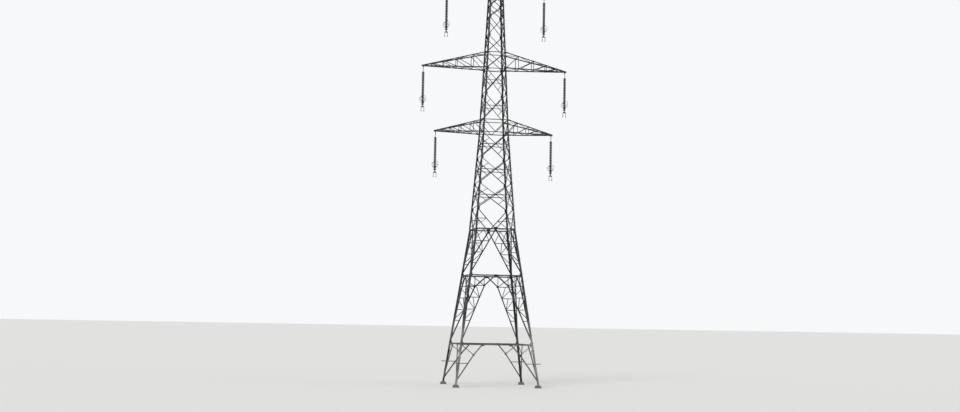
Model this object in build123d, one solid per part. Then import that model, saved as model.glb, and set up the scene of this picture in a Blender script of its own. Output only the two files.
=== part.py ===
# A lattice transmission pylon for two three-phase circuits, as a 1:2 scale model.
#
# A square steel tower of angle bars stands on four concrete muffs. Its legs bend at a waist and
# again at the lowest crossarm, and a small pyramid on top carries the earthwire. Three pairs of
# tapering crossarms each hold a suspension string of insulator discs with arcing horns, a yoke
# and two conductor clamps.
#
# Millimetres, at half the real size. X runs along the crossarms, Y along the line, Z up. The
# origin is on the ground, on the tower's axis. Front is -Y and right is +X.

import math
import os
from itertools import accumulate

from build123d import *

os.makedirs("parts", exist_ok=True)

# Heights above the ground, on the legs' node points.
MUFF_TOP = 130.0
KNEE_LOW = 2125.0  # horizontals over the splayed feet
KNEE_HIGH = 5550.0
WAIST = 7825.0  # the legs bend here

# Heights of what stands on the waist, from the bottom up. Each one starts where the last ends.
BODY_PANELS = (1075.0, 1275.0, 1300.0, 1275.0)
LOW_ARM_DEPTH = 675.0  # between the chords of the arms, at the tower
LOW_GAP_PANELS = (1325.0, 1300.0)
MIDDLE_ARM_DEPTH = 850.0
UPPER_GAP_PANELS = (875.0, 975.0, 575.0, 600.0)
TOP_ARM_DEPTH = 675.0
PEAK_HEIGHT = 1100.0

LOW_ARM_CHORD = WAIST + sum(BODY_PANELS)  # the legs bend again here
LOW_ARM_TOP = LOW_ARM_CHORD + LOW_ARM_DEPTH
MIDDLE_ARM_CHORD = LOW_ARM_TOP + sum(LOW_GAP_PANELS)
MIDDLE_ARM_TOP = MIDDLE_ARM_CHORD + MIDDLE_ARM_DEPTH
TOP_ARM_CHORD = MIDDLE_ARM_TOP + sum(UPPER_GAP_PANELS)
TOP_ARM_TOP = TOP_ARM_CHORD + TOP_ARM_DEPTH
PEAK_TOP = TOP_ARM_TOP + PEAK_HEIGHT

# Half the distance between the legs' outer corners at the bends.
GROUND_HALF = 2110.0
WAIST_HALF = 1015.0
LOW_ARM_HALF = 660.0
NECK_HALF = 315.0  # at the top arm's upper chords
PEAK_HALF = 42.0

# Where the strings hang, out from the tower's axis.
LOW_ARM_REACH = 2985.0
MIDDLE_ARM_REACH = 3670.0
TOP_ARM_REACH = 2535.0
TIP_OVERRUN = 90.0  # the tip plate runs on past its pin

# Leg angles: flange width and thickness.
LOWER_LEG_WIDTH = 100.0
LOWER_LEG_WALL = 10.0
UPPER_LEG_WIDTH = 75.0
UPPER_LEG_WALL = 8.0
PEAK_LEG_WIDTH = 40.0
PEAK_LEG_WALL = 5.0

# Bracing bars.
BRACE_WALL = 5.0
MAIN_BRACE_WIDTH = 60.0
BODY_BRACE_WIDTH = 45.0
HEAD_BRACE_WIDTH = 36.0
REDUNDANT_WIDTH = 28.0
BAR_CLEARANCE = 6.0  # between bars of two faces that meet at a leg
SHELF_DEPTH = 50.0  # level flange of a horizontal

# Cranked braces over the feet: the kink, out from the axis and below the horizontal over it.
FOOT_KINK_OUT = 1160.0
FOOT_KINK_DROP = 535.0
FOOT_BRACE_TOP = 690.0  # where the brace leaves the horizontal over the feet
FOOT_BRACE_END = 130.0  # above the muff
GUARD_HEIGHT = 1175.0
KNEE_KINK_OUT = 600.0
KNEE_KINK_DROP = 550.0
KNEE_STAY_DROP = 1730.0  # a level bar under the kink, below the same horizontal
SHANK_STAY_DROP = 1160.0  # and one below the waist

# Plan bracing, laid on the horizontals.
PLAN_BAR_WIDTH = 40.0
PLAN_BAR_WALL = 5.0
PLAN_PLAY = 2.0

# Concrete muffs round the leg stubs.
MUFF_WIDTH = 300.0
MUFF_TOP_WIDTH = 230.0

# Crossarms.
ARM_CHORD_WIDTH = 45.0
ARM_WALL = 5.0
ARM_LACE_WIDTH = 28.0
ARM_PANELS = (0.2, 0.45, 0.66, 0.84)
ARM_TIP_DEPTH = 60.0  # between the chords at the tip
ARM_GUSSET = 260.0  # length of the tip plate
ARM_TIP_HALF = 26.0  # half the width at the tip
ARM_INSET = 4.0  # chords start this far inside the legs' corners
ARM_LEAD = 90.0  # length that is trimmed off against the leg
TIP_PLATE_WALL = 8.0
PIN_DROP = 45.0  # the string's pin below the arm's floor

# Earthwire peak.
PEAK_STEP = 90.0  # the peak's bracing stops this far under its cap
CAP_WALL = 10.0
LUG_WIDTH = 40.0
LUG_HEIGHT = 45.0
LUG_BORE = 8.0

# Guard brackets: their seat on the leg and how far they stand out.
GUARD_SEAT = 80.0
GUARD_REACH = 250.0
GUARD_BAR_WIDTH = 28.0

# Shackle on the arm's pin, and the cross joint below it.
PIN_RADIUS = 6.0
PIN_PLAY = 0.8
EYE_RADIUS = 18.0
CHEEK_GAP = 4.0
CHEEK_WALL = 6.0
CHEEK_RADIUS = 15.0
EYE_BEVEL = 0.45  # share of the radius that is cut off an eye's corners
LINK_LENGTH = 50.0  # from a pin to the bridge below it
BRIDGE_HEIGHT = 14.0
SHACKLE_DROP = 110.0  # between the two pins

# Insulator string, measured down from its own pin.
DISC_COUNT = 20
DISC_PITCH = 85.0
DISC_RADIUS = 66.0
DISC_DEPTH = 68.0  # from the top of a disc's cap to its rim
DISC_SIDES = 6
CAP_RADIUS = 24.0
CAP_DROP = 115.0  # top of the first cap
NECK_RADIUS = 12.0  # the bars above and below the discs

# Fittings under the string.
YOKE_GAP = 50.0  # from the string's tail to the yoke's top
YOKE_HEIGHT = 80.0
YOKE_WALL = 10.0
YOKE_SHOULDER = 24.0  # half the plate's top, and its margin past the straps
CLAMP_SPREAD = 72.0
CLAMP_DROP = 200.0
CLAMP_LENGTH = 130.0
CLAMP_RADIUS = 16.0
CLAMP_LIP = 0.65  # height of the ends above and below the conductor, as a share of the radius
CLAMP_KEEL = 0.4  # length of the flat underside, as a share of the length
CONDUCTOR_RADIUS = 7.5
STRAP_WIDTH = 18.0
STRAP_LAP = 6.0  # the strap's ends run into the yoke and the clamp
HORN_BAR = 20.0
HORN_REACH = 230.0
HORN_RISE = 515.0
HORN_WIDTH = 300.0
HORN_LOOP = 0.68  # where the loop is widest, as a share of its length
HORN_FOOT = 70.0  # half width at the foot
HORN_CROWN = 75.0  # half width at the top

FACES = ("front", "right", "back", "left")
CORNERS = ("back_right", "back_left", "front_left", "front_right")
FAR = 30000.0  # longer than the tower
ROUND_SIDES = 6  # small round bars and eyes have few sides


def save(name, shape):
    """Write one piece of the pylon."""
    shape.label = name
    export_step(shape, f"parts/{name}.step")


class Stretch:
    """A straight stretch of the tower between two heights, with four sloping faces."""

    def __init__(self, low, high, low_half, high_half):
        self.low = low
        self.high = high
        self.low_half = low_half
        self.slope = (low_half - high_half) / (high - low)
        self.rise = math.hypot(1, self.slope)

    def half(self, height):
        """Half the width between the legs' corners at a height."""
        return self.low_half - self.slope * (height - self.low)

    def flat(self, point):
        """A point (across, height) of the front face in that face's own plane."""
        return (point[0], (point[1] - self.low) * self.rise)

    def plane(self):
        """The front face: x to the right, y up the slope, z outwards."""
        return Plane(
            origin=(0, -self.low_half, self.low), x_dir=(1, 0, 0), z_dir=(0, -1, self.slope)
        )


BASE = Stretch(0.0, WAIST, GROUND_HALF, WAIST_HALF)
BODY = Stretch(WAIST, LOW_ARM_CHORD, WAIST_HALF, LOW_ARM_HALF)
HEAD = Stretch(LOW_ARM_CHORD, TOP_ARM_TOP, LOW_ARM_HALF, NECK_HALF)
PEAK = Stretch(TOP_ARM_TOP, PEAK_TOP, NECK_HALF, PEAK_HALF)


BASE_LEVELS = ((KNEE_LOW, -1), (KNEE_HIGH, -1))
BODY_LEVELS = ((WAIST, 1),)
HEAD_LEVELS = (
    (LOW_ARM_CHORD + HEAD_BRACE_WIDTH, -1),
    (MIDDLE_ARM_CHORD, -1),
    (TOP_ARM_CHORD, -1),
)
PLAN_LEVELS = (
    (BASE, KNEE_HIGH, LOWER_LEG_WALL),
    (BODY, WAIST + BRACE_WALL, UPPER_LEG_WALL),
    (HEAD, LOW_ARM_CHORD + HEAD_BRACE_WIDTH, UPPER_LEG_WALL),
    (HEAD, MIDDLE_ARM_CHORD, UPPER_LEG_WALL),
    (HEAD, TOP_ARM_CHORD, UPPER_LEG_WALL),
)
ARMS = (
    ("bottom", LOW_ARM_CHORD, LOW_ARM_TOP, LOW_ARM_REACH),
    ("middle", MIDDLE_ARM_CHORD, MIDDLE_ARM_TOP, MIDDLE_ARM_REACH),
    ("top", TOP_ARM_CHORD, TOP_ARM_TOP, TOP_ARM_REACH),
)


def outline(points):
    """A flat face through a list of points in the drawing plane."""
    return make_face(Polyline(*points, close=True))


def strip(start, end, width, shift=0.0):
    """A flat bar in the drawing plane between two points, moved sideways by shift."""
    a = Vector(*start)
    along = Vector(*end) - a
    turn = math.degrees(math.atan2(along.Y, along.X))
    bar = Rectangle(along.length, width)
    return Pos(a.X, a.Y) * Rot(0, 0, turn) * Pos(along.length / 2, shift) * bar


def round_hole(radius):
    """A hole of few sides that a round bar of this radius just fits."""
    return RegularPolygon(radius, ROUND_SIDES, major_radius=False)


def upright(y=0.0):
    """A drawing plane that faces the front: x to the right, y up."""
    return Plane(origin=(0, y, 0), x_dir=(1, 0, 0), z_dir=(0, -1, 0))


def sideways(x=0.0, z=0.0):
    """A drawing plane that faces the right: x to the back, y up."""
    return Plane(origin=(x, 0, z), x_dir=(0, 1, 0), z_dir=(1, 0, 0))


def slab(plane, face, wall):
    """A plate of a given thickness, half of it on each side of its drawing plane."""
    return plane.location * extrude(face, wall / 2, both=True)


def prism(radius, start, end):
    """An upright bar of few sides between two distances below the pin."""
    return Pos(0, 0, -end) * extrude(RegularPolygon(radius, ROUND_SIDES), end - start)


def between(shape, low, high):
    """The part of a shape that lies between two heights."""
    slice_box = Box(FAR, FAR, high - low, align=(Align.CENTER, Align.CENTER, Align.MIN))
    return shape & (Pos(0, 0, low) * slice_box)


def four_turns(shape):
    """The same shape on each of the tower's four sides."""
    return [Rot(0, 0, 90 * n) * shape for n in range(4)]


def leg_angle(stretch, low, high, width, wall):
    """The right rear leg's angle bar between two heights, its corner outwards."""
    at = stretch.half(low)
    lean = -stretch.slope * (high - low)
    profile = outline(
        [
            (at, at),
            (at - width, at),
            (at - width, at - wall),
            (at - wall, at - wall),
            (at - wall, at - width),
            (at, at - width),
        ]
    )
    return Solid.extrude(Pos(0, 0, low) * profile.face(), Vector(lean, lean, high - low))


def panel_outline(stretch, low, high, inset, left_edge=None):
    """The part of a face that lies between two heights and inside the legs' corners."""
    low_half = stretch.half(low) - inset
    high_half = stretch.half(high) - inset
    if left_edge is None:
        corners = [(-low_half, low), (low_half, low), (high_half, high), (-high_half, high)]
    else:
        corners = [(left_edge, low), (low_half, low), (high_half, high), (left_edge, high)]
    return outline([stretch.flat(p) for p in corners])


def face_lattice(stretch, low, high, mains, redundants, levels, sizes, left_edge=None):
    """A panel of bracing in the front face, its flat side against the legs' inner face.

    mains are wide bars, redundants are narrow ones, and levels are the horizontals: the height
    of their level flange, and 1 or -1 for a flat side above or below it. Bars are pairs of
    points (across, height).
    """
    leg_wall, bar_width = sizes
    flats = [strip(stretch.flat(p), stretch.flat(q), bar_width) for p, q in mains]
    flats += [strip(stretch.flat(p), stretch.flat(q), REDUNDANT_WIDTH) for p, q in redundants]
    shelves = []
    for level, side in levels:
        reach = stretch.half(level)
        middle = level + side * bar_width / 2
        ends = (stretch.flat((-reach, middle)), stretch.flat((reach, middle)))
        flats.append(strip(ends[0], ends[1], bar_width))
        end = reach - leg_wall - BRACE_WALL - SHELF_DEPTH - BAR_CLEARANCE
        begin = -end if left_edge is None else left_edge
        outer = -reach + leg_wall + BRACE_WALL / 2
        rest = Align.MIN if side > 0 else Align.MAX
        shelf = Box(end - begin, SHELF_DEPTH, BRACE_WALL, align=(Align.MIN, Align.MIN, rest))
        shelves.append(Pos(begin, outer, level) * shelf)
    sheet = Sketch() + flats
    sheet = sheet & panel_outline(stretch, low, high, leg_wall + BAR_CLEARANCE, left_edge)
    seat = leg_wall / stretch.rise
    lattice = Pos(0, 0, -seat) * extrude(sheet, -BRACE_WALL)
    lattice = between(stretch.plane().location * lattice, low, high)
    return lattice + shelves if shelves else lattice


def make_legs():
    """Four lower legs up to the waist and four upper legs that bend at the lowest arm."""
    lower = leg_angle(BASE, MUFF_TOP, WAIST, LOWER_LEG_WIDTH, LOWER_LEG_WALL)
    upper = leg_angle(BODY, WAIST, LOW_ARM_CHORD, UPPER_LEG_WIDTH, UPPER_LEG_WALL)
    upper = upper + leg_angle(HEAD, LOW_ARM_CHORD, TOP_ARM_TOP, UPPER_LEG_WIDTH, UPPER_LEG_WALL)
    for n, corner in enumerate(CORNERS):
        save(f"leg_lower_{corner}", Rot(0, 0, 90 * n) * lower)
        save(f"leg_upper_{corner}", Rot(0, 0, 90 * n) * upper)


def make_muffs():
    """Concrete muffs that stand on the ground under the legs, splayed to a wider foot."""
    at = BASE.half(MUFF_TOP) - LOWER_LEG_WIDTH / 2
    batter = math.degrees(math.atan((MUFF_WIDTH - MUFF_TOP_WIDTH) / 2 / MUFF_TOP))
    muff = extrude(Rectangle(MUFF_WIDTH, MUFF_WIDTH), MUFF_TOP, taper=batter)
    save("concrete_muffs", Compound(children=four_turns(Pos(at, at, 0) * muff)))


def across_at(start, end, height):
    """How far out a sloping bar is at a height."""
    share = (height - start[1]) / (end[1] - start[1])
    return start[0] + share * (end[0] - start[0])


def bar_to_leg(start, end, height):
    """A level bar from a sloping brace out to the leg."""
    return (across_at(start, end, height), height), (BASE.half(height), height)


def base_bars():
    """Bars of the right half of the front face, from the feet to the waist."""
    foot_z = MUFF_TOP + FOOT_BRACE_END
    foot = (BASE.half(foot_z), foot_z)
    foot_kink = (FOOT_KINK_OUT, KNEE_LOW - FOOT_KINK_DROP)
    knee_kink = (KNEE_KINK_OUT, KNEE_HIGH - KNEE_KINK_DROP)
    knee_low = (BASE.half(KNEE_LOW), KNEE_LOW)
    knee_high = (BASE.half(KNEE_HIGH), KNEE_HIGH)
    mains = [
        ((FOOT_BRACE_TOP, KNEE_LOW), foot_kink),
        (foot_kink, foot),
        ((0, KNEE_HIGH), knee_kink),
        (knee_kink, knee_low),
        ((0, WAIST), knee_high),
    ]
    redundants = [
        (foot_kink, knee_low),
        bar_to_leg(foot_kink, foot, GUARD_HEIGHT),
        (knee_kink, knee_high),
        (knee_kink, (BASE.half(knee_kink[1]), knee_kink[1])),
        bar_to_leg(knee_kink, knee_low, KNEE_HIGH - KNEE_STAY_DROP),
        bar_to_leg((0, WAIST), knee_high, WAIST - SHANK_STAY_DROP),
    ]
    return mains, redundants


def make_base_bracing():
    """Half faces of bracing between the feet and the waist."""
    mains, redundants = base_bars()
    sizes = (LOWER_LEG_WALL, MAIN_BRACE_WIDTH)
    right = face_lattice(
        BASE, MUFF_TOP, WAIST, mains, redundants, BASE_LEVELS, sizes, left_edge=0.0
    )
    left = mirror(right, Plane.YZ)
    halves = {"front": ("left", "right"), "right": ("front", "back")}
    halves |= {"back": ("right", "left"), "left": ("back", "front")}
    for n, face in enumerate(FACES):
        for half, side in zip((left, right), halves[face]):
            save(f"base_bracing_{face}_{side}", Rot(0, 0, 90 * n) * half)


def crosses(stretch, nodes):
    """Crossed diagonals between each pair of heights: the rising bars and the falling ones."""
    rising, falling = [], []
    for low, high in zip(nodes, nodes[1:]):
        a, b = stretch.half(low), stretch.half(high)
        rising.append(((-a, low), (b, high)))
        falling.append(((a, low), (-b, high)))
    return rising, falling


def vee(stretch, low, high):
    """Two diagonals from the middle of one level up to the legs at the next."""
    b = stretch.half(high)
    return [((0, low), (-b, high)), ((0, low), (b, high))]


def body_bracing():
    """The front face between the waist and the lowest crossarm."""
    nodes = list(accumulate(BODY_PANELS, initial=WAIST))
    mains, redundants = crosses(BODY, nodes[1:])
    mains += vee(BODY, WAIST, nodes[1])
    sizes = (UPPER_LEG_WALL, BODY_BRACE_WIDTH)
    top = LOW_ARM_CHORD - BODY_BRACE_WIDTH
    return face_lattice(BODY, WAIST, top, mains, redundants, BODY_LEVELS, sizes)


def head_bracing():
    """The front face between the lowest crossarm and the peak."""
    panels = LOW_GAP_PANELS + (MIDDLE_ARM_DEPTH,) + UPPER_GAP_PANELS + (TOP_ARM_DEPTH,)
    mains, redundants = crosses(HEAD, list(accumulate(panels, initial=LOW_ARM_TOP)))
    redundants += vee(HEAD, LOW_ARM_CHORD, LOW_ARM_TOP)
    for arm in ARMS:
        level = arm[2] - HEAD_BRACE_WIDTH / 2
        mains.append(((-HEAD.half(level), level), (HEAD.half(level), level)))
    sizes = (UPPER_LEG_WALL, HEAD_BRACE_WIDTH)
    return face_lattice(HEAD, LOW_ARM_CHORD, TOP_ARM_TOP, mains, redundants, HEAD_LEVELS, sizes)


def make_upper_bracing():
    """Faces of bracing from the waist to the top crossarm."""
    body, head = body_bracing(), head_bracing()
    for n, face in enumerate(FACES):
        turn = Rot(0, 0, 90 * n)
        save(f"upper_bracing_{face}", Compound(children=[turn * body, turn * head]))


def make_plan_bracing():
    """Level diamonds inside the tower, each laid on the horizontals' level flanges."""
    diamonds = []
    for stretch, level, leg_wall in PLAN_LEVELS:
        inside = stretch.half(level) - (leg_wall + BRACE_WALL) * stretch.rise - PLAN_PLAY
        corners = [(inside, 0), (0, inside), (-inside, 0), (0, -inside)]
        sides = [strip(p, q, PLAN_BAR_WIDTH) for p, q in zip(corners, corners[1:] + corners[:1])]
        sheet = (Sketch() + sides) & Rectangle(2 * inside, 2 * inside)
        diamonds.append(Pos(0, 0, level) * extrude(sheet, PLAN_BAR_WALL))
    save("plan_bracing", Compound(children=diamonds))


def make_peak():
    """The pyramid over the top crossarm, with a lug for the earthwire."""
    legs = four_turns(leg_angle(PEAK, TOP_ARM_TOP, PEAK_TOP, PEAK_LEG_WIDTH, PEAK_LEG_WALL))
    middle = (TOP_ARM_TOP + PEAK_TOP) / 2 - PEAK_STEP
    rising, falling = crosses(PEAK, (TOP_ARM_TOP, middle, PEAK_TOP - PEAK_STEP))
    bars = [rising[0], falling[1]]
    sizes = (PEAK_LEG_WALL, ARM_LACE_WIDTH)
    face = face_lattice(PEAK, TOP_ARM_TOP, PEAK_TOP - PEAK_STEP, [], bars, (), sizes)
    cap = Pos(0, 0, PEAK_TOP) * Box(
        2 * PEAK_HALF, 2 * PEAK_HALF, CAP_WALL, align=(Align.CENTER, Align.CENTER, Align.MIN)
    )
    lug = Rectangle(LUG_WIDTH, LUG_HEIGHT, align=(Align.CENTER, Align.MIN))
    lug = lug + Pos(0, LUG_HEIGHT) * RegularPolygon(LUG_WIDTH / 2, ROUND_SIDES)
    lug = lug - Pos(0, LUG_HEIGHT) * Circle(LUG_BORE)
    lug = Pos(0, 0, PEAK_TOP + CAP_WALL / 2) * slab(upright(), lug, CAP_WALL)
    save("earthwire_peak", Part() + legs + four_turns(face) + [cap, lug])


def make_guard():
    """Brackets on the outside of the lower legs, which carry the wire that stops climbers."""
    bar = Rectangle(
        GUARD_SEAT + GUARD_REACH, GUARD_BAR_WIDTH, align=(Align.MIN, Align.CENTER)
    )
    x, y = BASE.flat((BASE.half(GUARD_HEIGHT) - GUARD_SEAT, GUARD_HEIGHT))
    right = BASE.plane().location * extrude(Pos(x, y) * bar, BRACE_WALL)
    corner = right + Rot(0, 0, 90) * mirror(right, Plane.YZ)
    save("guard_brackets", Compound(children=four_turns(corner)))


def arm_side(floor_start, tip, roof_start):
    """The front side frame of a right arm: two chords, uprights and diagonals in one plane."""
    along = tip - floor_start
    plane = Plane(origin=floor_start, x_dir=along, z_dir=along.cross(roof_start - floor_start))
    length = along.length
    start = plane.to_local_coords(roof_start)
    fall = (start.Y - ARM_TIP_DEPTH) / (length - start.X)

    def roof(x):
        return start.Y - fall * (x - start.X)

    half_chord = ARM_CHORD_WIDTH / 2
    back = -ARM_LEAD
    flats = [strip((back, half_chord), (length, half_chord), ARM_CHORD_WIDTH)]
    flats.append(strip((back, roof(back)), (length, roof(length)), ARM_CHORD_WIDTH, -half_chord))
    nodes = [0.0] + [share * length for share in ARM_PANELS]
    for n, (x, after) in enumerate(zip(nodes, nodes[1:])):
        top = (after, roof(after) - half_chord)
        flats.append(strip((x, half_chord), top, ARM_LACE_WIDTH if n else ARM_CHORD_WIDTH))
        flats.append(strip((after, half_chord), top, ARM_LACE_WIDTH))
    sheet = Sketch() + flats
    frame = [(back, 0), (length, 0), (length, roof(length)), (back, roof(back))]
    sheet = sheet & outline(frame)
    shape = plane.location * extrude(sheet, -ARM_WALL)
    return shape, plane.from_local_coords(Vector(length, roof(length), 0))


def arm_deck(length, start_half, end_half, struts, diagonals):
    """A level frame of an arm in the drawing plane: chords, struts and diagonals."""
    drop = (start_half - end_half) / length
    back = -ARM_LEAD

    def edge(x):
        return start_half - drop * x

    half_chord = ARM_CHORD_WIDTH / 2
    flats = []
    for side in (-1, 1):
        a, b = (back, side * edge(back)), (length, side * edge(length))
        flats.append(strip(a, b, ARM_CHORD_WIDTH, -side * half_chord))
    nodes = [0.0] + [share * length for share in struts]
    for n, (before, x) in enumerate(zip(nodes, nodes[1:])):
        reach = edge(x) - half_chord
        flats.append(strip((x, -reach), (x, reach), ARM_LACE_WIDTH))
        if diagonals:
            side = 1 if n % 2 == 0 else -1
            start = (before, -side * (edge(before) - half_chord))
            flats.append(strip(start, (x, side * reach), ARM_LACE_WIDTH))
    frame = [(back, -edge(back)), (length, -end_half), (length, end_half), (back, edge(back))]
    return (Sketch() + flats) & outline(frame)


def tip_plate(reach, chord):
    """The plate on edge at an arm's tip, with an eye below it for the string's pin."""
    tip_x = reach + TIP_OVERRUN
    pin_z = chord - PIN_DROP
    plate = outline(
        [
            (tip_x - ARM_GUSSET, chord),
            (reach - EYE_RADIUS, pin_z),
            (reach + EYE_RADIUS, pin_z),
            (tip_x, chord),
            (tip_x, chord + ARM_TIP_DEPTH),
            (tip_x - ARM_GUSSET, chord + ARM_TIP_DEPTH),
        ]
    )
    eye = Pos(reach, pin_z) * RegularPolygon(EYE_RADIUS, ROUND_SIDES)
    hole = Pos(reach, pin_z) * round_hole(PIN_RADIUS + PIN_PLAY)
    return slab(upright(), plate + eye - hole, TIP_PLATE_WALL)


def make_arm(name, chord, top, reach):
    """A pair of crossarms whose tips each have a plate with an eye for the string's pin."""
    low_half = HEAD.half(chord) - ARM_INSET
    top_half = HEAD.half(top) - ARM_INSET
    tip_x = reach + TIP_OVERRUN
    floor_start = Vector(low_half, -low_half, chord)
    tip = Vector(tip_x, -ARM_TIP_HALF, chord)
    roof_start = Vector(top_half, -top_half, top)
    side, roof_end = arm_side(floor_start, tip, roof_start)
    floor_sheet = arm_deck(tip_x - low_half, low_half, ARM_TIP_HALF, ARM_PANELS, True)
    floor = Pos(low_half, 0, chord) * extrude(floor_sheet, ARM_WALL)
    fall = Vector(roof_end.X - roof_start.X, 0, roof_end.Z - roof_start.Z)
    roof_plane = Plane(
        origin=(roof_start.X, 0, roof_start.Z), x_dir=fall, z_dir=fall.cross(Vector(0, 1, 0))
    )
    roof_sheet = arm_deck(fall.length, -roof_start.Y, -roof_end.Y, ARM_PANELS[:1], False)
    roof = roof_plane.location * extrude(roof_sheet, -ARM_WALL)
    arm = side + mirror(side, Plane.XZ) + floor + roof + tip_plate(reach, chord)
    inside = Box(FAR, FAR, FAR, align=(Align.CENTER, Align.CENTER, Align.MAX))
    arm = arm - Rot(0, 0, 90) * (HEAD.plane().location * inside)
    save(f"crossarm_{name}_right", arm)
    save(f"crossarm_{name}_left", mirror(arm, Plane.YZ))


def tongue(length):
    """A plate round the origin with a bevelled end above it, down to a straight end."""
    bevel = CHEEK_RADIUS * EYE_BEVEL
    return outline(
        [
            (-CHEEK_RADIUS, -length),
            (CHEEK_RADIUS, -length),
            (CHEEK_RADIUS, CHEEK_RADIUS - bevel),
            (CHEEK_RADIUS - bevel, CHEEK_RADIUS),
            (bevel - CHEEK_RADIUS, CHEEK_RADIUS),
            (-CHEEK_RADIUS, CHEEK_RADIUS - bevel),
        ]
    )


def link():
    """Two cheeks round a pin along y, joined by a bridge below."""
    cheek = tongue(LINK_LENGTH)
    inner = TIP_PLATE_WALL / 2 + CHEEK_GAP
    offset = inner + CHEEK_WALL / 2
    cheeks = [slab(upright(side * offset), cheek, CHEEK_WALL) for side in (-1, 1)]
    beam = Pos(0, 0, -LINK_LENGTH) * Box(
        2 * CHEEK_RADIUS,
        2 * (inner + CHEEK_WALL),
        BRIDGE_HEIGHT,
        align=(Align.CENTER, Align.CENTER, Align.MAX),
    )
    pin = slab(upright(), RegularPolygon(PIN_RADIUS, ROUND_SIDES), 2 * offset)
    return Part() + cheeks + [beam, pin]


def make_shackle():
    """The shackle on the arm's pin, with an eye below it turned a quarter round."""
    eye = tongue(SHACKLE_DROP - LINK_LENGTH - BRIDGE_HEIGHT) - round_hole(PIN_RADIUS + PIN_PLAY)
    eye = Pos(0, -SHACKLE_DROP) * Rot(0, 0, 180) * eye
    return link() + slab(sideways(), eye, TIP_PLATE_WALL)


def ring(radius, height):
    """The corners of a level disc of few sides."""
    angles = [2 * math.pi * n / DISC_SIDES for n in range(DISC_SIDES)]
    return [Vector(radius * math.cos(a), radius * math.sin(a), height) for a in angles]


def stack(rings):
    """A solid with flat sides through a stack of rings, from the top one down."""
    faces = [Face(Wire.make_polygon(rings[0])), Face(Wire.make_polygon(rings[-1]))]
    for upper, lower in zip(rings, rings[1:]):
        for n in range(DISC_SIDES):
            faces.append(Face(Wire.make_polygon([upper[n - 1], upper[n], lower[n], lower[n - 1]])))
    return Solid(Shell(faces))


def make_string():
    """A string of cap-and-pin insulator discs under its clevis, hung from the lower pin."""
    end = CAP_DROP + DISC_COUNT * DISC_PITCH
    rings = [ring(CAP_RADIUS, -CAP_DROP)]
    for n in range(DISC_COUNT):
        top = CAP_DROP + n * DISC_PITCH
        rings += [ring(DISC_RADIUS, -top - DISC_DEPTH), ring(CAP_RADIUS, -top - DISC_PITCH)]
    stem = prism(NECK_RADIUS, LINK_LENGTH + BRIDGE_HEIGHT, CAP_DROP)
    return Rot(0, 0, 90) * link() + [stem, stack(rings)], end


def racket(length, inset=0.0):
    """The outline of an arcing horn's loop, from a narrow foot to a round head."""
    half = HORN_WIDTH / 2 - inset
    foot = HORN_FOOT - inset / 2
    crown = HORN_CROWN - inset / 2
    middle = length * HORN_LOOP
    return outline(
        [
            (-foot, inset),
            (foot, inset),
            (half, middle),
            (crown, length - inset),
            (-crown, length - inset),
            (-half, middle),
        ]
    )


def make_horn(side):
    """An arcing horn that leans out along the line on one side of the string's end."""
    length = math.hypot(HORN_REACH, HORN_RISE)
    tilt = math.degrees(math.atan2(HORN_REACH, HORN_RISE))
    loop = slab(upright(), racket(length) - racket(length, HORN_BAR), HORN_BAR)
    return Rot(side * tilt, 0, 0) * loop


def make_clamp(x, z):
    """A boat-shaped conductor clamp under its keeper, along the line."""
    lip = CLAMP_RADIUS * CLAMP_LIP
    keel = CLAMP_LENGTH * CLAMP_KEEL / 2
    end = CLAMP_LENGTH / 2
    boat = outline(
        [
            (-end, -lip),
            (-keel, -CLAMP_RADIUS),
            (keel, -CLAMP_RADIUS),
            (end, -lip),
            (end, lip),
            (keel, CLAMP_RADIUS),
            (-keel, CLAMP_RADIUS),
            (-end, lip),
        ]
    )
    bore = Rot(90, 0, 0) * Cylinder(CONDUCTOR_RADIUS, 2 * CLAMP_LENGTH)
    return slab(sideways(x, z), boat, 2 * CLAMP_RADIUS) - Pos(x, 0, z) * bore


def make_yoke(start):
    """Arcing horns, the yoke plate under the string, and two conductor clamps that hang from it."""
    top = -start - YOKE_GAP
    bottom = top - YOKE_HEIGHT
    clamp_z = bottom - CLAMP_DROP
    plate = outline(
        [
            (-YOKE_SHOULDER, top),
            (YOKE_SHOULDER, top),
            (CLAMP_SPREAD + YOKE_SHOULDER, bottom),
            (-CLAMP_SPREAD - YOKE_SHOULDER, bottom),
        ]
    )
    pieces = [prism(NECK_RADIUS, start, start + YOKE_GAP), slab(upright(), plate, YOKE_WALL)]
    for side in (-1, 1):
        x = side * CLAMP_SPREAD
        strap_end = clamp_z + CLAMP_RADIUS
        strap = Pos(x, 0, strap_end - STRAP_LAP) * Box(
            STRAP_WIDTH,
            YOKE_WALL,
            bottom - strap_end + 2 * STRAP_LAP,
            align=(Align.CENTER, Align.CENTER, Align.MIN),
        )
        pieces += [strap, make_clamp(x, clamp_z)]
        pieces.append(Pos(0, 0, top) * make_horn(side))
    return Part() + pieces


def make_strings():
    """Shackles, insulator strings and yokes under all six arm tips."""
    shackle = make_shackle()
    string, end = make_string()
    yoke = make_yoke(end)
    for name, chord, top, reach in ARMS:
        for side, sign in (("left", -1), ("right", 1)):
            pin = Pos(sign * reach, 0, chord - PIN_DROP)
            save(f"shackle_{name}_{side}", pin * shackle)
            save(f"insulator_{name}_{side}", pin * Pos(0, 0, -SHACKLE_DROP) * string)
            save(f"yoke_{name}_{side}", pin * Pos(0, 0, -SHACKLE_DROP) * yoke)


def main():
    make_legs()
    make_muffs()
    make_base_bracing()
    make_upper_bracing()
    make_plan_bracing()
    make_peak()
    make_guard()
    for arm in ARMS:
        make_arm(*arm)
    make_strings()


if __name__ == "__main__":
    main()
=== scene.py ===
"""The looks of a lattice transmission pylon, a 1:2 scale model: zinc, bolts, glaze, concrete.

Metres, in the part's own frame: X along the crossarms, Y along the line, Z up, and the origin on
the ground under the tower's axis. Front is -Y.
"""

import math

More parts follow.
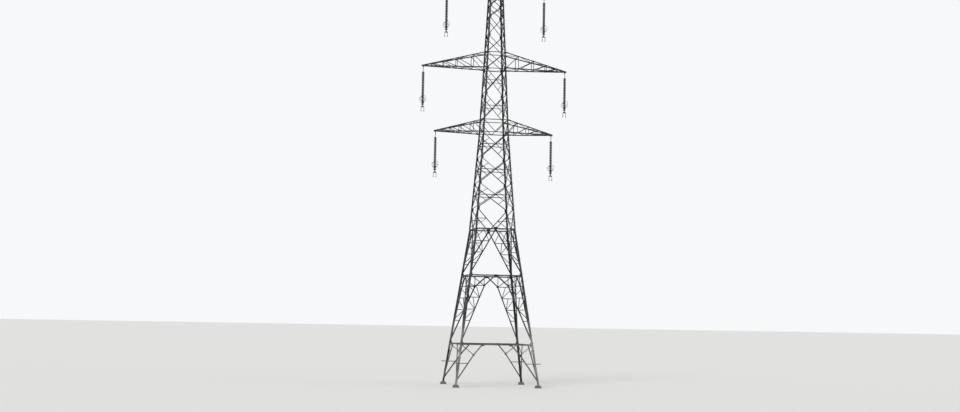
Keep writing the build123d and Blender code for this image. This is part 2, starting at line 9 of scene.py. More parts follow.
import bpy
from bpy.props import FloatProperty, FloatVectorProperty, IntProperty, PointerProperty
from mathutils import Matrix, Vector


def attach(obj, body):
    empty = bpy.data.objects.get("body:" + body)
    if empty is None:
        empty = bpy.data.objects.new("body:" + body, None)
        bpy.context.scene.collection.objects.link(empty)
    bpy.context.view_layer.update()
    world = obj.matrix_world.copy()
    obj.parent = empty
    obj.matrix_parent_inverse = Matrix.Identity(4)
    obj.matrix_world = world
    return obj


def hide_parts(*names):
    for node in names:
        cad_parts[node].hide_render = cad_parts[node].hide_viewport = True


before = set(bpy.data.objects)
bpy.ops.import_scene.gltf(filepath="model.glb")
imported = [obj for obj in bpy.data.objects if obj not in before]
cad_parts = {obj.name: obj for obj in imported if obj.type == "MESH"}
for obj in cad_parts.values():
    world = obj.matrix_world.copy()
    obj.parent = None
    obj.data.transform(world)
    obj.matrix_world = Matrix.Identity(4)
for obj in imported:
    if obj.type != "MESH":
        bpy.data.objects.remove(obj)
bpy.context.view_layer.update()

bl_info = {
    "name": "Lattice Pylon Looks",
    "version": (1, 0, 0),
    "blender": (4, 5, 0),
    "location": "View3D > Sidebar > Pylon",
    "description": "Angle bars, bolts, insulator strings and finishes for a lattice pylon",
    "category": "Object",
}

NEAR = 0.001  # as near as counts as touching
ALIGNED = 0.9  # the share of a direction that counts as along an axis

# Heights of the legs' nodes.
MUFF_TOP = 0.130
KNEE_LOW = 2.125
KNEE_HIGH = 5.550
WAIST = 7.825
BODY_NODES = (8.900, 10.175, 11.475)
LOW_ARM_CHORD = 12.750
LOW_ARM_TOP = 13.425
MIDDLE_GAP_NODE = 14.750
MIDDLE_ARM_CHORD = 16.050
MIDDLE_ARM_TOP = 16.900
UPPER_GAP_NODES = (17.775, 18.750, 19.325)
TOP_ARM_CHORD = 19.925
TOP_ARM_TOP = 20.600
PEAK_TOP = 21.700

# Half the width between the legs' outer corners at the bends.
GROUND_HALF = 2.110
WAIST_HALF = 1.015
LOW_ARM_HALF = 0.660
NECK_HALF = 0.315
PEAK_HALF = 0.042

# Where the braces of the base kink, and the redundant bars meet them.
FOOT_KINK = (1.160, 1.590)
FOOT_BRACE_TOP = 0.690
FOOT_BRACE_END = 0.130
GUARD_HEIGHT = 1.175
KNEE_KINK = (0.600, 5.000)
KNEE_REDUNDANTS = (4.415, 3.820, 3.270)
KNEE_FALLS = 2
SHANK_REDUNDANTS = (7.235, 6.665, 6.125)
SHANK_FALLS = 1
SHANK_HIP = 0.600
WAIST_REDUNDANT = 8.365
WAIST_STRUT_RISE = 0.150

# Angle bars: flange widths, and the second flange against the first.
MAIN_WIDTH = 0.060
BODY_WIDTH = 0.045
HEAD_WIDTH = 0.036
FINE_WIDTH = 0.026
SECOND_FLANGE = 0.8
THIN_WALL = 0.8  # walls of the thin and fine bars, against the others
FINE_WALL = 0.7

# Bolts of a bar: from its end to the first, and between two.
BOLT_EDGE = 0.014
BOLT_PITCH = 0.032

# Gusset plates: width, height and cut corner. They lie behind the legs' inner side.
GUSSETS = {
    "apex": (0.17, 0.11, 0.03),
    "kink": (0.11, 0.12, 0.03),
    "leg": (0.13, 0.22, 0.04),
    "cross": (0.07, 0.07, 0.016),
    "small": (0.09, 0.16, 0.025),
}
GUSSET_DEPTH = 0.0105
GUSSET_INSET = 0.085  # from the leg's corner to the middle of a plate
APEX_DROP = 0.05
WAIST_APEX_DROP = 0.06
WAIST_APEX_RISE = 0.07

# What is fixed on the legs. Bolts of a splice: shares of its length, and of its width.
SPLICE_WALL = 0.006
SPLICE_CORNER = 0.008
SPLICE_BEVEL = 0.0015
SPLICE_EDGE = 0.012
SPLICE_BOLTS = (-0.42, -0.30, -0.18, -0.06, 0.06, 0.18, 0.30, 0.42)
SPLICE_ROW = 0.22
STEP_LOW = 1.62
STEP_HIGH = 20.2
STEP_PITCH = 0.19
STEP_LENGTH = 0.075
STEP_RADIUS = 0.0045
STEP_INSET = 0.034
STEP_HEAD = 0.004
STEP_NUT = (0.014, 0.007)

# Brackets with barbed strands round each leg, against climbers.
GUARD_REACH = 0.250
GUARD_STRANDS = 5
GUARD_FIRST = 0.7  # the first strand's place, in gaps between two
GUARD_BOLTS = (0.022, 0.060)  # in from the leg's corner
STRAND_RADIUS = 0.0022
STRAND_LIFT = 0.016
BARB_PITCH = 0.055
BARB_LENGTH = 0.026
BARB_RADIUS = 0.0011
BARB_LEAN = 0.9

# Crossarms: heights of the chord and the roof, and reach to the pin. Their panels' ends are
# shares of the chord's length.
ARMS = {
    "bottom": (LOW_ARM_CHORD, LOW_ARM_TOP, 2.985),
    "middle": (MIDDLE_ARM_CHORD, MIDDLE_ARM_TOP, 3.670),
    "top": (TOP_ARM_CHORD, TOP_ARM_TOP, 2.535),
}
ARM_PANELS = (0.0, 0.2, 0.45, 0.66, 0.84)
ARM_CHORD_WIDTH = 0.052
ARM_CHORD_WALL = 0.006
ARM_LACE_WIDTH = 0.032
ARM_WALL = 0.005
ARM_INSET = 0.004
ARM_TIP_HALF = 0.026
ARM_TIP_DEPTH = 0.060
TIP_OVERRUN = 0.090
TIP_PLATE_WALL = 0.008
ARM_BOLT = 0.85  # an arm's bolts against the usual ones
ARM_PLATE = (0.090, 0.064, 0.014)  # length, width and cut corner
ARM_ROOT = (0.170, 0.074, 0.016)
ARM_GUSSET = 0.260
PACKER_LOW = (0.156, 0.004)  # back from the arm's end, and above the chord's lower side
PACKER_HIGH = (0.012, 0.044)
ARM_PLATE_BOLTS = ((-0.030, -0.012), (-0.010, 0.013), (0.010, -0.012), (0.030, 0.013))
ARM_ROOT_PLATE = 0.075
ARM_ROOT_BOLTS = ((-0.064, -0.016), (-0.032, 0.016), (0, -0.016), (0.032, 0.016), (0.064, -0.016))
ARM_TIP_BOLTS = (0.030, 0.072, 0.114, 0.156, 0.198)  # back from the end of the chord
EYE_RADIUS = 0.018

# The strings: their pins, their discs, and what hangs below.
PIN_DROP = 0.045
SHACKLE_DROP = 0.110
DISC_PITCH = 0.085
DISC_COUNT = 20
CAP_DROP = 0.115
CAP_SIDES = 12
YOKE_GAP = 0.050
YOKE_HEIGHT = 0.080
YOKE_HALF_WALL = 0.005
CLAMP_SPREAD = 0.072
CLAMP_DROP = 0.200
CLAMP_LENGTH = 0.130
CONDUCTOR_RADIUS = 0.0075
HORN_BAR = 0.028
HORN_HALF = 0.138  # half the ring's width, to the middle of the bar
HORN_RING = (0.165, 0.214)  # half the ring's length, and the stem below it
HORN_LEAN = math.degrees(math.atan2(230, 515))

# The peak's joints with the arms and halfway up, their plates and bolts.
PEAK_JOINTS = (TOP_ARM_TOP + 0.10, (TOP_ARM_TOP + PEAK_TOP) / 2 - 0.09)
PEAK_PLATE = (0.004, 0.075, 0.11, 0.02)  # wall, width, height and cut corner
PEAK_PLATE_DEPTH = 0.0145
PEAK_BOLT = 0.8
PEAK_BOLTS = (-0.036, -0.012, 0.012, 0.036)
PEAK_INSET = 0.022

MUFF_HALF = 0.150
MUFF_TOP_HALF = 0.115
MUFF_CAP = (0.016, 0.014, 0.66)  # its inset, its rise and how far it closes
MUFF_ROUND = 0.006
LEG_HALF = 0.050  # half the flange of a lower leg

# Painted light, paler zinc low on the front legs' lit faces: where it starts, and where it is
# full.
PAINTED_LIGHT_TOP = 3.9
PAINTED_LIGHT_FULL = 1.9

# Slots for the finishes, and the nodes that don't get plain zinc.
NODE_FINISHES = {
    "concrete": "cement",
    "insulator": "glaze",
    "shackle": "fittings",
    "yoke": "fittings",
    # The lower front legs get the zinc with painted light low down.
    "leg_lower_front": "zinc_washed",
}

# Sides of the part, and the eight flanges of the legs: their face's turn, and the side of it.
SIDES = {"left": -1, "right": 1}
FLANGES = [(turn, side) for turn in range(4) for side in SIDES.values()]

# Faces in their order round the tower, with their halves as seen from outside.
FACES = {
    "front": ("left", "right"),
    "right": ("front", "back"),
    "back": ("right", "left"),
    "left": ("back", "front"),
}

# The camera stands where the photograph was taken from, at half the real distances.
PHOTO_WIDTH = 960
FOCAL_PIXELS = 1464.0
CAMERA_PLACE = (-13.40, -72.67, 3.105)
CAMERA_TURN = (9.96, 4.60, 0.96)  # yaw to the right, pitch up and roll, in degrees
SENSOR_WIDTH = 36.0
FLOOR_SIZE = 3000

# Lamps: name, strength, turn and tilt. The spread makes their shadows soft.
LAMPS = (("key", 1.5, -35, 48), ("fill", 0.5, 70, 60))
LAMP_SPREAD = 25
LAMP_HEIGHT = 30


def metres(name, description, default):
    """A length that can be set in the panel."""
    return FloatProperty(name=name, description=description, default=default, unit="LENGTH")


def tint(name, description, default):
    """A colour that can be set in the panel."""
    return FloatVectorProperty(
        name=name, description=description, default=default, subtype="COLOR", size=3
    )


class PylonSizes(bpy.types.PropertyGroup):
    bolt_width: metres("Bolt Width", "Across a bolt head", 0.015)
    bolt_height: metres("Bolt Height", "Height of a bolt head", 0.007)
    bar_wall: metres("Bar Wall", "Thickness of the bracing bars", 0.005)
    redundant_width: metres("Redundant Width", "Flange of a redundant bar", 0.034)
    disc_radius: metres("Disc Radius", "Radius of an insulator disc", 0.070)
    disc_sides: IntProperty(
        name="Disc Sides", description="Sides round an insulator disc", default=16, min=8
    )


class PylonFinishes(bpy.types.PropertyGroup):
    # Painted shade: both zincs are near black for a tower in shade, over a medium-grey zinc; the
    # dark one adds real grime.
    zinc_clean_painted_shade: tint("Zinc, Pale", "Dry zinc in the open", (0.045, 0.047, 0.050))
    zinc_grimy_painted_shade: tint("Zinc, Dark", "Zinc under grime", (0.015, 0.016, 0.018))
    # Painted light: paler zinc for the lit faces low on the front legs, not a cleaner zinc.
    zinc_washed: tint("Zinc, Washed", "Pale zinc low on the legs", (0.330, 0.338, 0.322))
    rust: tint("Rust", "Specks where the zinc is gone", (0.085, 0.046, 0.027))
    glaze: tint("Glaze", "Glaze of the insulator discs", (0.020, 0.013, 0.011))
    cement: tint("Cement", "Cast concrete", (0.165, 0.162, 0.146))
    floor: tint("Floor", "The plain floor", (0.80, 0.80, 0.79))


def shift(x, y, z):
    """A matrix that moves a piece."""
    return Matrix.Translation((x, y, z))


def turn_by(degrees, axis):
    """A matrix that turns a piece about an axis."""
    return Matrix.Rotation(math.radians(degrees), 4, axis)


HALF_TURN = turn_by(180, "Z")
QUARTER_TURN = turn_by(90, "Z")
UP = Vector((0, 0, 1))


def frame_on(origin, along, up):
    """A matrix with x along one direction and z as near as can be to another."""
    x = along.normalized()
    z = (up - up.dot(x) * x).normalized()
    turn = Matrix((x, z.cross(x), z)).transposed().to_4x4()
    return Matrix.Translation(origin) @ turn


def lay(start, end, up):
    """A matrix that lays one metre of bar between two points, its flat side one way."""
    return frame_on(start, end - start, up) @ Matrix.Diagonal(((end - start).length, 1, 1, 1))


class Stretch:
    """A straight stretch of the tower between two heights, with four sloping faces.

    Points of a face are pairs (across, height), and a bar of it is a pair of points.
    """

    def __init__(self, low, high, low_half, high_half, wall):
        self.low, self.high, self.low_half, self.wall = low, high, low_half, wall
        self.slope = (low_half - high_half) / (high - low)
        self.rise = math.hypot(1, self.slope)

    def half(self, height):
        """Half the width between the legs' corners at a height."""
        return self.low_half - self.slope * (height - self.low)

    def flat(self, point, depth=0.0):
        """A point of a face in that face's own plane, or behind it."""
        return Vector((point[0], (point[1] - self.low) * self.rise, -depth))

    def face(self, turn):
        """Matrix of a face: x to the right, y up the slope, z outwards. 0 is the front."""
        corner = Vector((0, -self.low_half, self.low))
        lie = frame_on(corner, Vector((1, 0, 0)), Vector((0, -1, self.slope)))
        return turn_by(90 * turn, "Z") @ lie

    def leg(self, height, side=1):
        """The point of a leg's corner at a height: -1 is the left leg and 1 the right one."""
        return side * self.half(height), height

    def legs(self, heights):
        """Points of both legs at some heights."""
        return [self.leg(height, side) for side in (-1, 1) for height in heights]

    def meets_leg(self, point):
        """Whether a point lies on a leg."""
        return abs(point[0]) > self.half(point[1]) - NEAR

    def level(self, height, start=-1):
        """A horizontal from leg to leg. Where it starts decides how its flange turns."""
        return self.leg(height, start), self.leg(height, -start)

    def vee(self, low, high):
        """Two diagonals from the middle of one level up to the legs at the next."""
        return [((0, low), self.leg(high, side)) for side in (-1, 1)]

    def crosses(self, nodes, side):
        """Diagonals between each pair of heights: rising to the right leg (1) or the left (-1)."""
        return [
            (self.leg(low, -side), self.leg(high, side)) for low, high in zip(nodes, nodes[1:])
        ]

    def crossing(self, low, high):
        """How high the diagonals between two heights cross."""
        return low + (high - low) * self.half(low) / (self.half(low) + self.half(high))

    def struts(self, low, high):
        """Struts from the legs, level with a crossing, to the middles of the diagonals' arms."""
        centre = self.crossing(low, high)
        return [
            (self.leg(centre, side), (side * self.half(end) / 2, (end + centre) / 2))
            for side in (-1, 1)
            for end in (low, high)
        ]

    def along_leg(self, side, height, inset):
        """A face's own matrix on a leg: x up along the leg, y across it and z outwards."""
        low, high = (self.flat(self.leg(z, side)) for z in (height, height + 1))
        return frame_on(low, high - low, UP) @ shift(0, side * inset, 0)


# The last number is the wall of the legs' angle bars.
BASE = Stretch(0.0, WAIST, GROUND_HALF, WAIST_HALF, 0.010)
BODY = Stretch(WAIST, LOW_ARM_CHORD, WAIST_HALF, LOW_ARM_HALF, 0.008)
HEAD = Stretch(LOW_ARM_CHORD, TOP_ARM_TOP, LOW_ARM_HALF, NECK_HALF, 0.008)
PEAK = Stretch(TOP_ARM_TOP, PEAK_TOP, NECK_HALF, PEAK_HALF, 0.005)

# Splices of the legs: height, and the plates' length and width.
SPLICES = ((BASE, 3.53, 0.40, 0.074), (BODY, 8.10, 0.34, 0.056), (HEAD, 13.98, 0.30, 0.056))


def deselect():
    """Nothing selected, in object mode."""
    if bpy.context.object and bpy.context.object.mode != "OBJECT":
        bpy.ops.object.mode_set(mode="OBJECT")
    bpy.ops.object.select_all(action="DESELECT")


def edit_all():
    """Edit the active piece with all of it selected."""
    bpy.ops.object.mode_set(mode="EDIT")
    bpy.ops.mesh.select_all(action="SELECT")


def pick(piece, test, edges=False):
    """Edit a piece with only those faces or edges selected that pass a test.

    The test gets a face's centre and normal, or an edge's middle and direction.
    """
    bpy.ops.object.mode_set(mode="OBJECT")
    bpy.context.tool_settings.mesh_select_mode = (False, edges, not edges)
    mesh = piece.data
    for elements in (mesh.vertices, mesh.edges, mesh.polygons):
        elements.foreach_set("select", [False] * len(elements))
    if edges:
        for edge in mesh.edges:
            a, b = (mesh.vertices[i].co for i in edge.vertices)
            edge.select = test((a + b) / 2, (b - a).normalized())
    else:
        for face in mesh.polygons:
            face.select = test(face.center, face.normal)
    bpy.ops.object.mode_set(mode="EDIT")


def facing_up(centre, normal):
    """Whether a face looks up."""
    return normal.z > ALIGNED


def extrude(height):
    """Extrude what is selected along Z."""
    bpy.ops.mesh.extrude_region_move(TRANSFORM_OT_translate={"value": (0, 0, height)})


def resize(shares, centre=(0, 0, 0)):
    """Scale what is selected about a point."""
    bpy.ops.transform.resize(value=shares, center_override=centre)


def bevel(piece, test, corner, steps=1):
    """Bevel those edges of a piece that pass a test."""
    pick(piece, test, edges=True)
    bpy.ops.mesh.bevel(offset=corner, segments=steps, affect="EDGES")
    deselect()
    return piece


def applied():
    """The active piece, back at the origin, unturned and unscaled, with its mesh in place."""
    bpy.ops.object.transform_apply(location=True, rotation=True, scale=True)
    return bpy.context.object


def box_blank(low, high):
    """A block between two corners, ready to be shaped."""
    deselect()
    low, high = Vector(low), Vector(high)
    bpy.ops.mesh.primitive_cube_add(size=1, location=(low + high) / 2, scale=high - low)
    return applied()


def block(low, high, axis, corner, steps=3):
    """A block between two corners, with its edges along one axis (0, 1 or 2) rounded."""
    return bevel(box_blank(low, high), lambda c, d: abs(d[axis]) > ALIGNED, corner, steps)


def plate_stock(wall, width, height, corner):
    """A plate one wall thick with its corners cut, lying on z = 0 and centred on the origin."""
    return block((-width / 2, -height / 2, 0), (width / 2, height / 2, wall), 2, corner, 1)


def turned_blank(profile, sides):
    """A solid turned round Z from (radius, height) points, with a flat cap at each end."""
    deselect()
    bpy.ops.mesh.primitive_circle_add(vertices=sides, radius=1, fill_type="NGON")
    piece = bpy.context.object
    edit_all()
    radius, height = profile[0]
    resize((radius, radius, 1))
    bpy.ops.transform.translate(value=(0, 0, height))
    for (before, low), (after, high) in zip(profile, profile[1:]):
        extrude(high - low)
        resize((after / before, after / before, 1), (0, 0, high))
    bpy.ops.mesh.select_all(action="SELECT")
    bpy.ops.mesh.normals_make_consistent(inside=False)
    bpy.ops.object.mode_set(mode="OBJECT")
    return piece


def angle_stock(width, wall, share=SECOND_FLANGE):
    """An angle bar one metre long: its flat side up, its other flange down along one edge."""
    bar = box_blank((0, -width / 2, -wall), (1, width / 2, 0))
    edit_all()
    bpy.ops.mesh.bisect(plane_co=(0, wall - width / 2, 0), plane_no=(0, 1, 0))
    pick(bar, lambda c, n: n.z < -ALIGNED and c.y < wall - width / 2)
    extrude(wall - width * share)
    deselect()
    return bar


def bolt_stock(width, height):
    """A hexagon head with the end of its thread, standing on z = 0."""
    deselect()
    bpy.ops.mesh.primitive_cylinder_add(
        vertices=6, radius=width / math.sqrt(3), depth=height, location=(0, 0, height / 2)
    )
    bolt = applied()
    pick(bolt, facing_up)
    bpy.ops.mesh.inset(thickness=width / 5)
    extrude(height / 2)
    deselect()
    return bolt


def head_bolt(context, share=1.0):
    """A bolt of the tower's usual size, or a share of it."""
    sizes = context.scene.pylon_sizes
    return bolt_stock(sizes.bolt_width * share, sizes.bolt_height * share)


def round_bar(radius, start, end, sides=8):
    """A round bar between two points, with a small step at each end, as stock for a piece."""
    start, end = Vector(start), Vector(end)
    length = (end - start).length
    step = min(radius, length) / 5
    bar = turned_blank(
        [(radius - step, 0), (radius, step), (radius, length - step), (radius - step, length)],
        sides,
    )
    turn = (end - start).to_track_quat("Z", "Y").to_matrix().to_4x4()
    return moved(bar, Matrix.Translation(start) @ turn)


def smooth(piece, angle=35):
    """Shade a piece smooth, but not across sharp edges."""
    deselect()
    piece.select_set(True)
    bpy.context.view_layer.objects.active = piece
    bpy.ops.object.shade_smooth_by_angle(angle=math.radians(angle))
    return piece


def moved(piece, place):
    """The same piece with its mesh moved by a matrix."""
    piece.data.transform(place)
    return piece


def copies(stock, places):
    """Copies of a piece, each with its own mesh, moved by their matrices."""
    made = []
    for place in places:
        copy = stock.copy()
        copy.data = stock.data.copy()
        bpy.context.scene.collection.objects.link(copy)
        made.append(moved(copy, place))
    return made


def with_twin(piece):
    """A piece and its copy on the other side of the Z axis."""
    return [piece, *copies(piece, [HALF_TURN])]


def scrap(*stocks):
    """Take the patterns away once their copies are made."""
    for stock in stocks:
        bpy.data.objects.remove(stock)


def join(pieces, name):
    """One piece from several, or the same piece where there is one."""
    deselect()
    for piece in pieces:
        piece.select_set(True)
    bpy.context.view_layer.objects.active = pieces[0]
    if len(pieces) > 1:
        bpy.ops.object.join()
    piece = bpy.context.object
    piece.name = piece.data.name = name
    return piece


def finished(pieces, name, *nodes, finish="zinc", body="tower"):
    """One piece from several, with its finish, slot and body, and the nodes it stands for."""
    piece = join(pieces, name)
    piece.data.materials.clear()
    piece.data.materials.append(bpy.data.materials[finish])
    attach(piece, body)
    if nodes:
        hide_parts(*nodes)


def edge_bar(stock, start, end, out, toward):
    """An angle bar between two points: its flat side outwards, its other flange along one side."""
    if out.cross(end - start).dot(toward) > 0:
        start, end = end, start
    return copies(stock, [lay(start, end, out)])


def bar_on_face(stretch, turn, bar, depth, trim, count):
    """Matrices for one metre of angle bar laid on a face, and for its bolts.

    An end that meets a leg stops short of the leg's corner by the trim, with its bolts outside
    the leg. The bolts of another end are on the bar's own face.
    """
    face = stretch.face(turn)
    ends, bolts = [], []
    for near, far in (bar, bar[::-1]):
        start = stretch.flat(near)
        along = (stretch.flat(far) - start).normalized()
        on_leg = stretch.meets_leg(near)
        start += along * (trim if on_leg else 0)
        ends.append(start)
        for n in range(count):
            spot = start + along * (BOLT_EDGE + n * BOLT_PITCH)
            bolts.append(face @ shift(spot.x, spot.y, 0 if on_leg else -depth))
    return face @ shift(0, 0, -depth) @ lay(*ends, UP), bolts


def across_at(start, end, height):
    """How far out a sloping bar is at a height."""
    share = (height - start[1]) / (end[1] - start[1])
    return start[0] + share * (end[0] - start[0])


def bar_to_leg(start, end, height):
    """A level bar of the base from a sloping brace out to the leg."""
    return (across_at(start, end, height), height), BASE.leg(height)


def ladder(top_bar, start, end, heights, falls):
    """Level bars from a brace to the leg below a first one, with diagonals between each two.

    The upper panels' diagonals fall from the leg to the brace, with a strut beside them from the
    middle of the level bar. The others fall from the brace to the leg.
    """
    bars = [bar_to_leg(start, end, height) for height in heights]
    diagonals = []
    for n, ((inner, outer), (foot, leg)) in enumerate(zip([top_bar] + bars, bars)):
        middle = ((inner[0] + outer[0]) / 2, inner[1])
        diagonals += [(outer, foot), (middle, foot)] if n < falls else [(inner, leg)]
    return bars + diagonals


def base_bars():
    """Main and redundant bars of the right half of a face, from the feet to the waist."""
    foot, knee_low, knee_high = (
        BASE.leg(z) for z in (MUFF_TOP + FOOT_BRACE_END, KNEE_LOW, KNEE_HIGH)
    )
    apex, hip = (0, WAIST), (SHANK_HIP, WAIST)
    mains = [
        ((FOOT_BRACE_TOP, KNEE_LOW), FOOT_KINK),
        (FOOT_KINK, foot),
        ((0, KNEE_HIGH), KNEE_KINK),
        (KNEE_KINK, knee_low),
        (apex, knee_high),
    ]
    knee_bar = (KNEE_KINK, BASE.leg(KNEE_KINK[1]))
    shank_bar = bar_to_leg(apex, knee_high, SHANK_REDUNDANTS[0])
    redundants = [
        (FOOT_KINK, knee_low),
        bar_to_leg(FOOT_KINK, foot, GUARD_HEIGHT),
        (KNEE_KINK, knee_high),
        ((KNEE_KINK[0], KNEE_HIGH), KNEE_KINK),
        knee_bar,
        (hip, shank_bar[0]),
        (hip, shank_bar[1]),
        shank_bar,
    ]
    redundants += ladder(knee_bar, KNEE_KINK, knee_low, KNEE_REDUNDANTS, KNEE_FALLS)
    redundants += ladder(shank_bar, apex, knee_high, SHANK_REDUNDANTS[1:], SHANK_FALLS)
    return mains, redundants


def both_halves(bars):
    """Bars of a face's right half, and their mirror images with mirrored flanges."""
    return bars + [((-b[0], b[1]), (-a[0], a[1])) for a, b in bars]


def bar_rows():
    """All bars of a face: stretch, stock, bars, layer behind the leg, trim and bolts an end."""
    mains, redundants = (both_halves(bars) for bars in base_bars())
    knees = [BASE.level(z - MAIN_WIDTH / 2, 1) for z in (KNEE_LOW, KNEE_HIGH)]
    body = BODY_NODES + (LOW_ARM_CHORD,)
    panels = list(zip(body, body[1:]))
    short = [BODY.level(BODY.crossing(*panel)) for panel in panels]
    fine = [strut for panel in panels for strut in BODY.struts(*panel)]
    inner = across_at((0, WAIST), BODY.leg(body[0]), WAIST_REDUNDANT)
    for side in (-1, 1):
        spot = (side * inner, WAIST_REDUNDANT)
        short.append((spot, BODY.leg(WAIST_REDUNDANT, side)))
        fine.append((spot, BODY.leg(WAIST + WAIST_STRUT_RISE, side)))
    head = (LOW_ARM_TOP, MIDDLE_GAP_NODE, MIDDLE_ARM_CHORD, MIDDLE_ARM_TOP)
    head += UPPER_GAP_NODES + (TOP_ARM_CHORD, TOP_ARM_TOP)
    half = HEAD_WIDTH / 2
    levels = [HEAD.level(top - half) for chord, top, reach in ARMS.values()]
    levels.append(HEAD.level(LOW_ARM_CHORD + half, 1))
    levels += [HEAD.level(z - half, 1) for z in (MIDDLE_ARM_CHORD, TOP_ARM_CHORD)]
    fine_head = []
    for panel in zip(head[:2], head[1:3]):
        fine_head += [HEAD.level(HEAD.crossing(*panel)), *HEAD.struts(*panel)]
    return [
        (BASE, "main", mains, 0, 0.045, 3),
        (BASE, "main", knees, 0, 0.025, 3),
        (BASE, "thin", redundants, 1, 0.030, 1),
        (BODY, "body", BODY.crosses(body, 1), 0, 0.032, 2),
        (BODY, "main", [BODY.level(WAIST + MAIN_WIDTH / 2)], 0, 0.026, 3),
        (BODY, "body", BODY.vee(WAIST, body[0]), 0, 0.032, 2),
        (BODY, "thin", BODY.crosses(body, -1), 1, 0.028, 2),
        (BODY, "thin", short, 2, 0.028, 1),
        (BODY, "fine", fine, 2, 0.028, 1),
        (HEAD, "head", HEAD.crosses(head, 1) + levels, 0, 0.030, 2),
        (HEAD, "thin", HEAD.crosses(head, -1), 1, 0.028, 2),
        (HEAD, "fine", fine_head, 2, 0.028, 1),
        (HEAD, "thin", HEAD.vee(LOW_ARM_CHORD, LOW_ARM_TOP), 1, 0.028, 1),
    ]


def gusset_rows():
    """Plates behind the bars where they meet: stretch, plate and points."""
    kinks = [(side * x, z) for side in (-1, 1) for x, z in (FOOT_KINK, KNEE_KINK)]
    apexes = [(side * FOOT_BRACE_TOP, KNEE_LOW - APEX_DROP) for side in (-1, 1)]
    apexes += [(0, KNEE_HIGH - APEX_DROP), (0, WAIST - WAIST_APEX_DROP)]
    tops = BODY_NODES[1:] + (LOW_ARM_CHORD,)
    head_nodes = (MIDDLE_GAP_NODE, *UPPER_GAP_NODES, MIDDLE_ARM_CHORD, TOP_ARM_CHORD)
    return [
        (BASE, "kink", kinks),
        (BASE, "apex", apexes),
        (BASE, "leg", BASE.legs((KNEE_LOW, KNEE_HIGH))),
        (BODY, "apex", [(0, WAIST + WAIST_APEX_RISE)]),
        (BODY, "small", BODY.legs(BODY_NODES)),
        (BODY, "cross", [(0, BODY.crossing(*panel)) for panel in zip(BODY_NODES, tops)]),
        (HEAD, "small", HEAD.legs(head_nodes)),
    ]


def feed(tree, node, inputs):
    """Set inputs of a node, each to a constant or to the socket that feeds it."""
    for key, value in inputs.items():
        if isinstance(value, bpy.types.NodeSocket):
            tree.links.new(value, node.inputs[key])
        else:
            node.inputs[key].default_value = value


def add_node(tree, kind, inputs, **settings):
    """A shader node with its settings and inputs."""
    node = tree.nodes.new(kind)
    for name, value in settings.items():
        setattr(node, name, value)
    feed(tree, node, inputs)
    return node


def noise(tree, coordinates, scale, detail, stretch=(1, 1, 1)):
    """A noise texture on stretched coordinates, as a value from 0 to 1."""
    mapping = add_node(tree, "ShaderNodeMapping", {"Vector": coordinates, "Scale": stretch})
    inputs = {"Vector": mapping.outputs["Vector"], "Scale": scale, "Detail": detail}
    return add_node(tree, "ShaderNodeTexNoise", inputs).outputs["Fac"]


def ramp(tree, value, low, high):
    """A value spread from 0 at one level to 1 at another, and clamped."""
    inputs = {"Value": value, "From Min": low, "From Max": high}
    return add_node(tree, "ShaderNodeMapRange", inputs).outputs["Result"]


def blend_colours(tree, share, first, second):
    """A colour between two, by a share from 0 to 1. The node's colours are its sockets 6 and 7."""
    inputs = {"Factor": share, 6: first, 7: second}
    return add_node(tree, "ShaderNodeMix", inputs, data_type="RGBA").outputs[2]


def maths(tree, operation, first, second):
    """The result of one step of arithmetic on two sockets."""
    inputs = {0: first, 1: second}
    return add_node(tree, "ShaderNodeMath", inputs, operation=operation).outputs["Value"]


def weather_group():
    """Node group for weathered surfaces: patches, streaks down the surface and fine specks.

    A share of a paler colour low down is painted light, for the lit faces of the lower legs.
    """
    group = bpy.data.node_groups.new("weathering", "ShaderNodeTree")
    ends = group.interface
    for name in ("Clean", "Grimy", "Speck", "Painted Lit"):
        ends.new_socket(name, in_out="INPUT", socket_type="NodeSocketColor")
    values = {"Patch Scale": 2.5, "Streaks": 0.5, "Specks": 0.3, "Grain": 260.0, "Painted Light": 0.0}
    for name, value in values.items():
        socket = ends.new_socket(name, in_out="INPUT", socket_type="NodeSocketFloat")
        socket.default_value = value
    ends.new_socket("Color", in_out="OUTPUT", socket_type="NodeSocketColor")
    for name in ("Grime", "Height"):
        ends.new_socket(name, in_out="OUTPUT", socket_type="NodeSocketFloat")
    given = group.nodes.new("NodeGroupInput").outputs
    place = group.nodes.new("ShaderNodeTexCoord").outputs["Object"]
    patches = noise(group, place, given["Patch Scale"], 4)
    streaks = ramp(group, noise(group, place, 24.0, 3, (1, 1, 0.06)), 0.45, 0.75)
    streaks = maths(group, "MULTIPLY", streaks, given["Streaks"])
    grime = maths(group, "ADD", ramp(group, patches, 0.35, 0.7), streaks)
    grime.node.use_clamp = True
    colour = blend_colours(group, grime, given["Clean"], given["Grimy"])
    height = add_node(group, "ShaderNodeSeparateXYZ", {"Vector": place}).outputs["Z"]
    # Painted light: the colour turns paler towards the ground.
    painted_light_share = maths(group, "MULTIPLY", ramp(group, height, PAINTED_LIGHT_TOP, PAINTED_LIGHT_FULL), given["Painted Light"])
    painted_light_share = maths(group, "MULTIPLY", painted_light_share, ramp(group, patches, 0.9, 0.2))
    colour = blend_colours(group, painted_light_share, colour, given["Painted Lit"])
    specks = ramp(group, noise(group, place, 55.0, 5), 0.62, 0.70)
    specks = maths(group, "MULTIPLY", specks, given["Specks"])
    colour = blend_colours(group, specks, colour, given["Speck"])
    grain = noise(group, place, given["Grain"], 2)
    add_node(group, "NodeGroupOutput", {"Color": colour, "Grime": grime, "Height": grain})
    return group


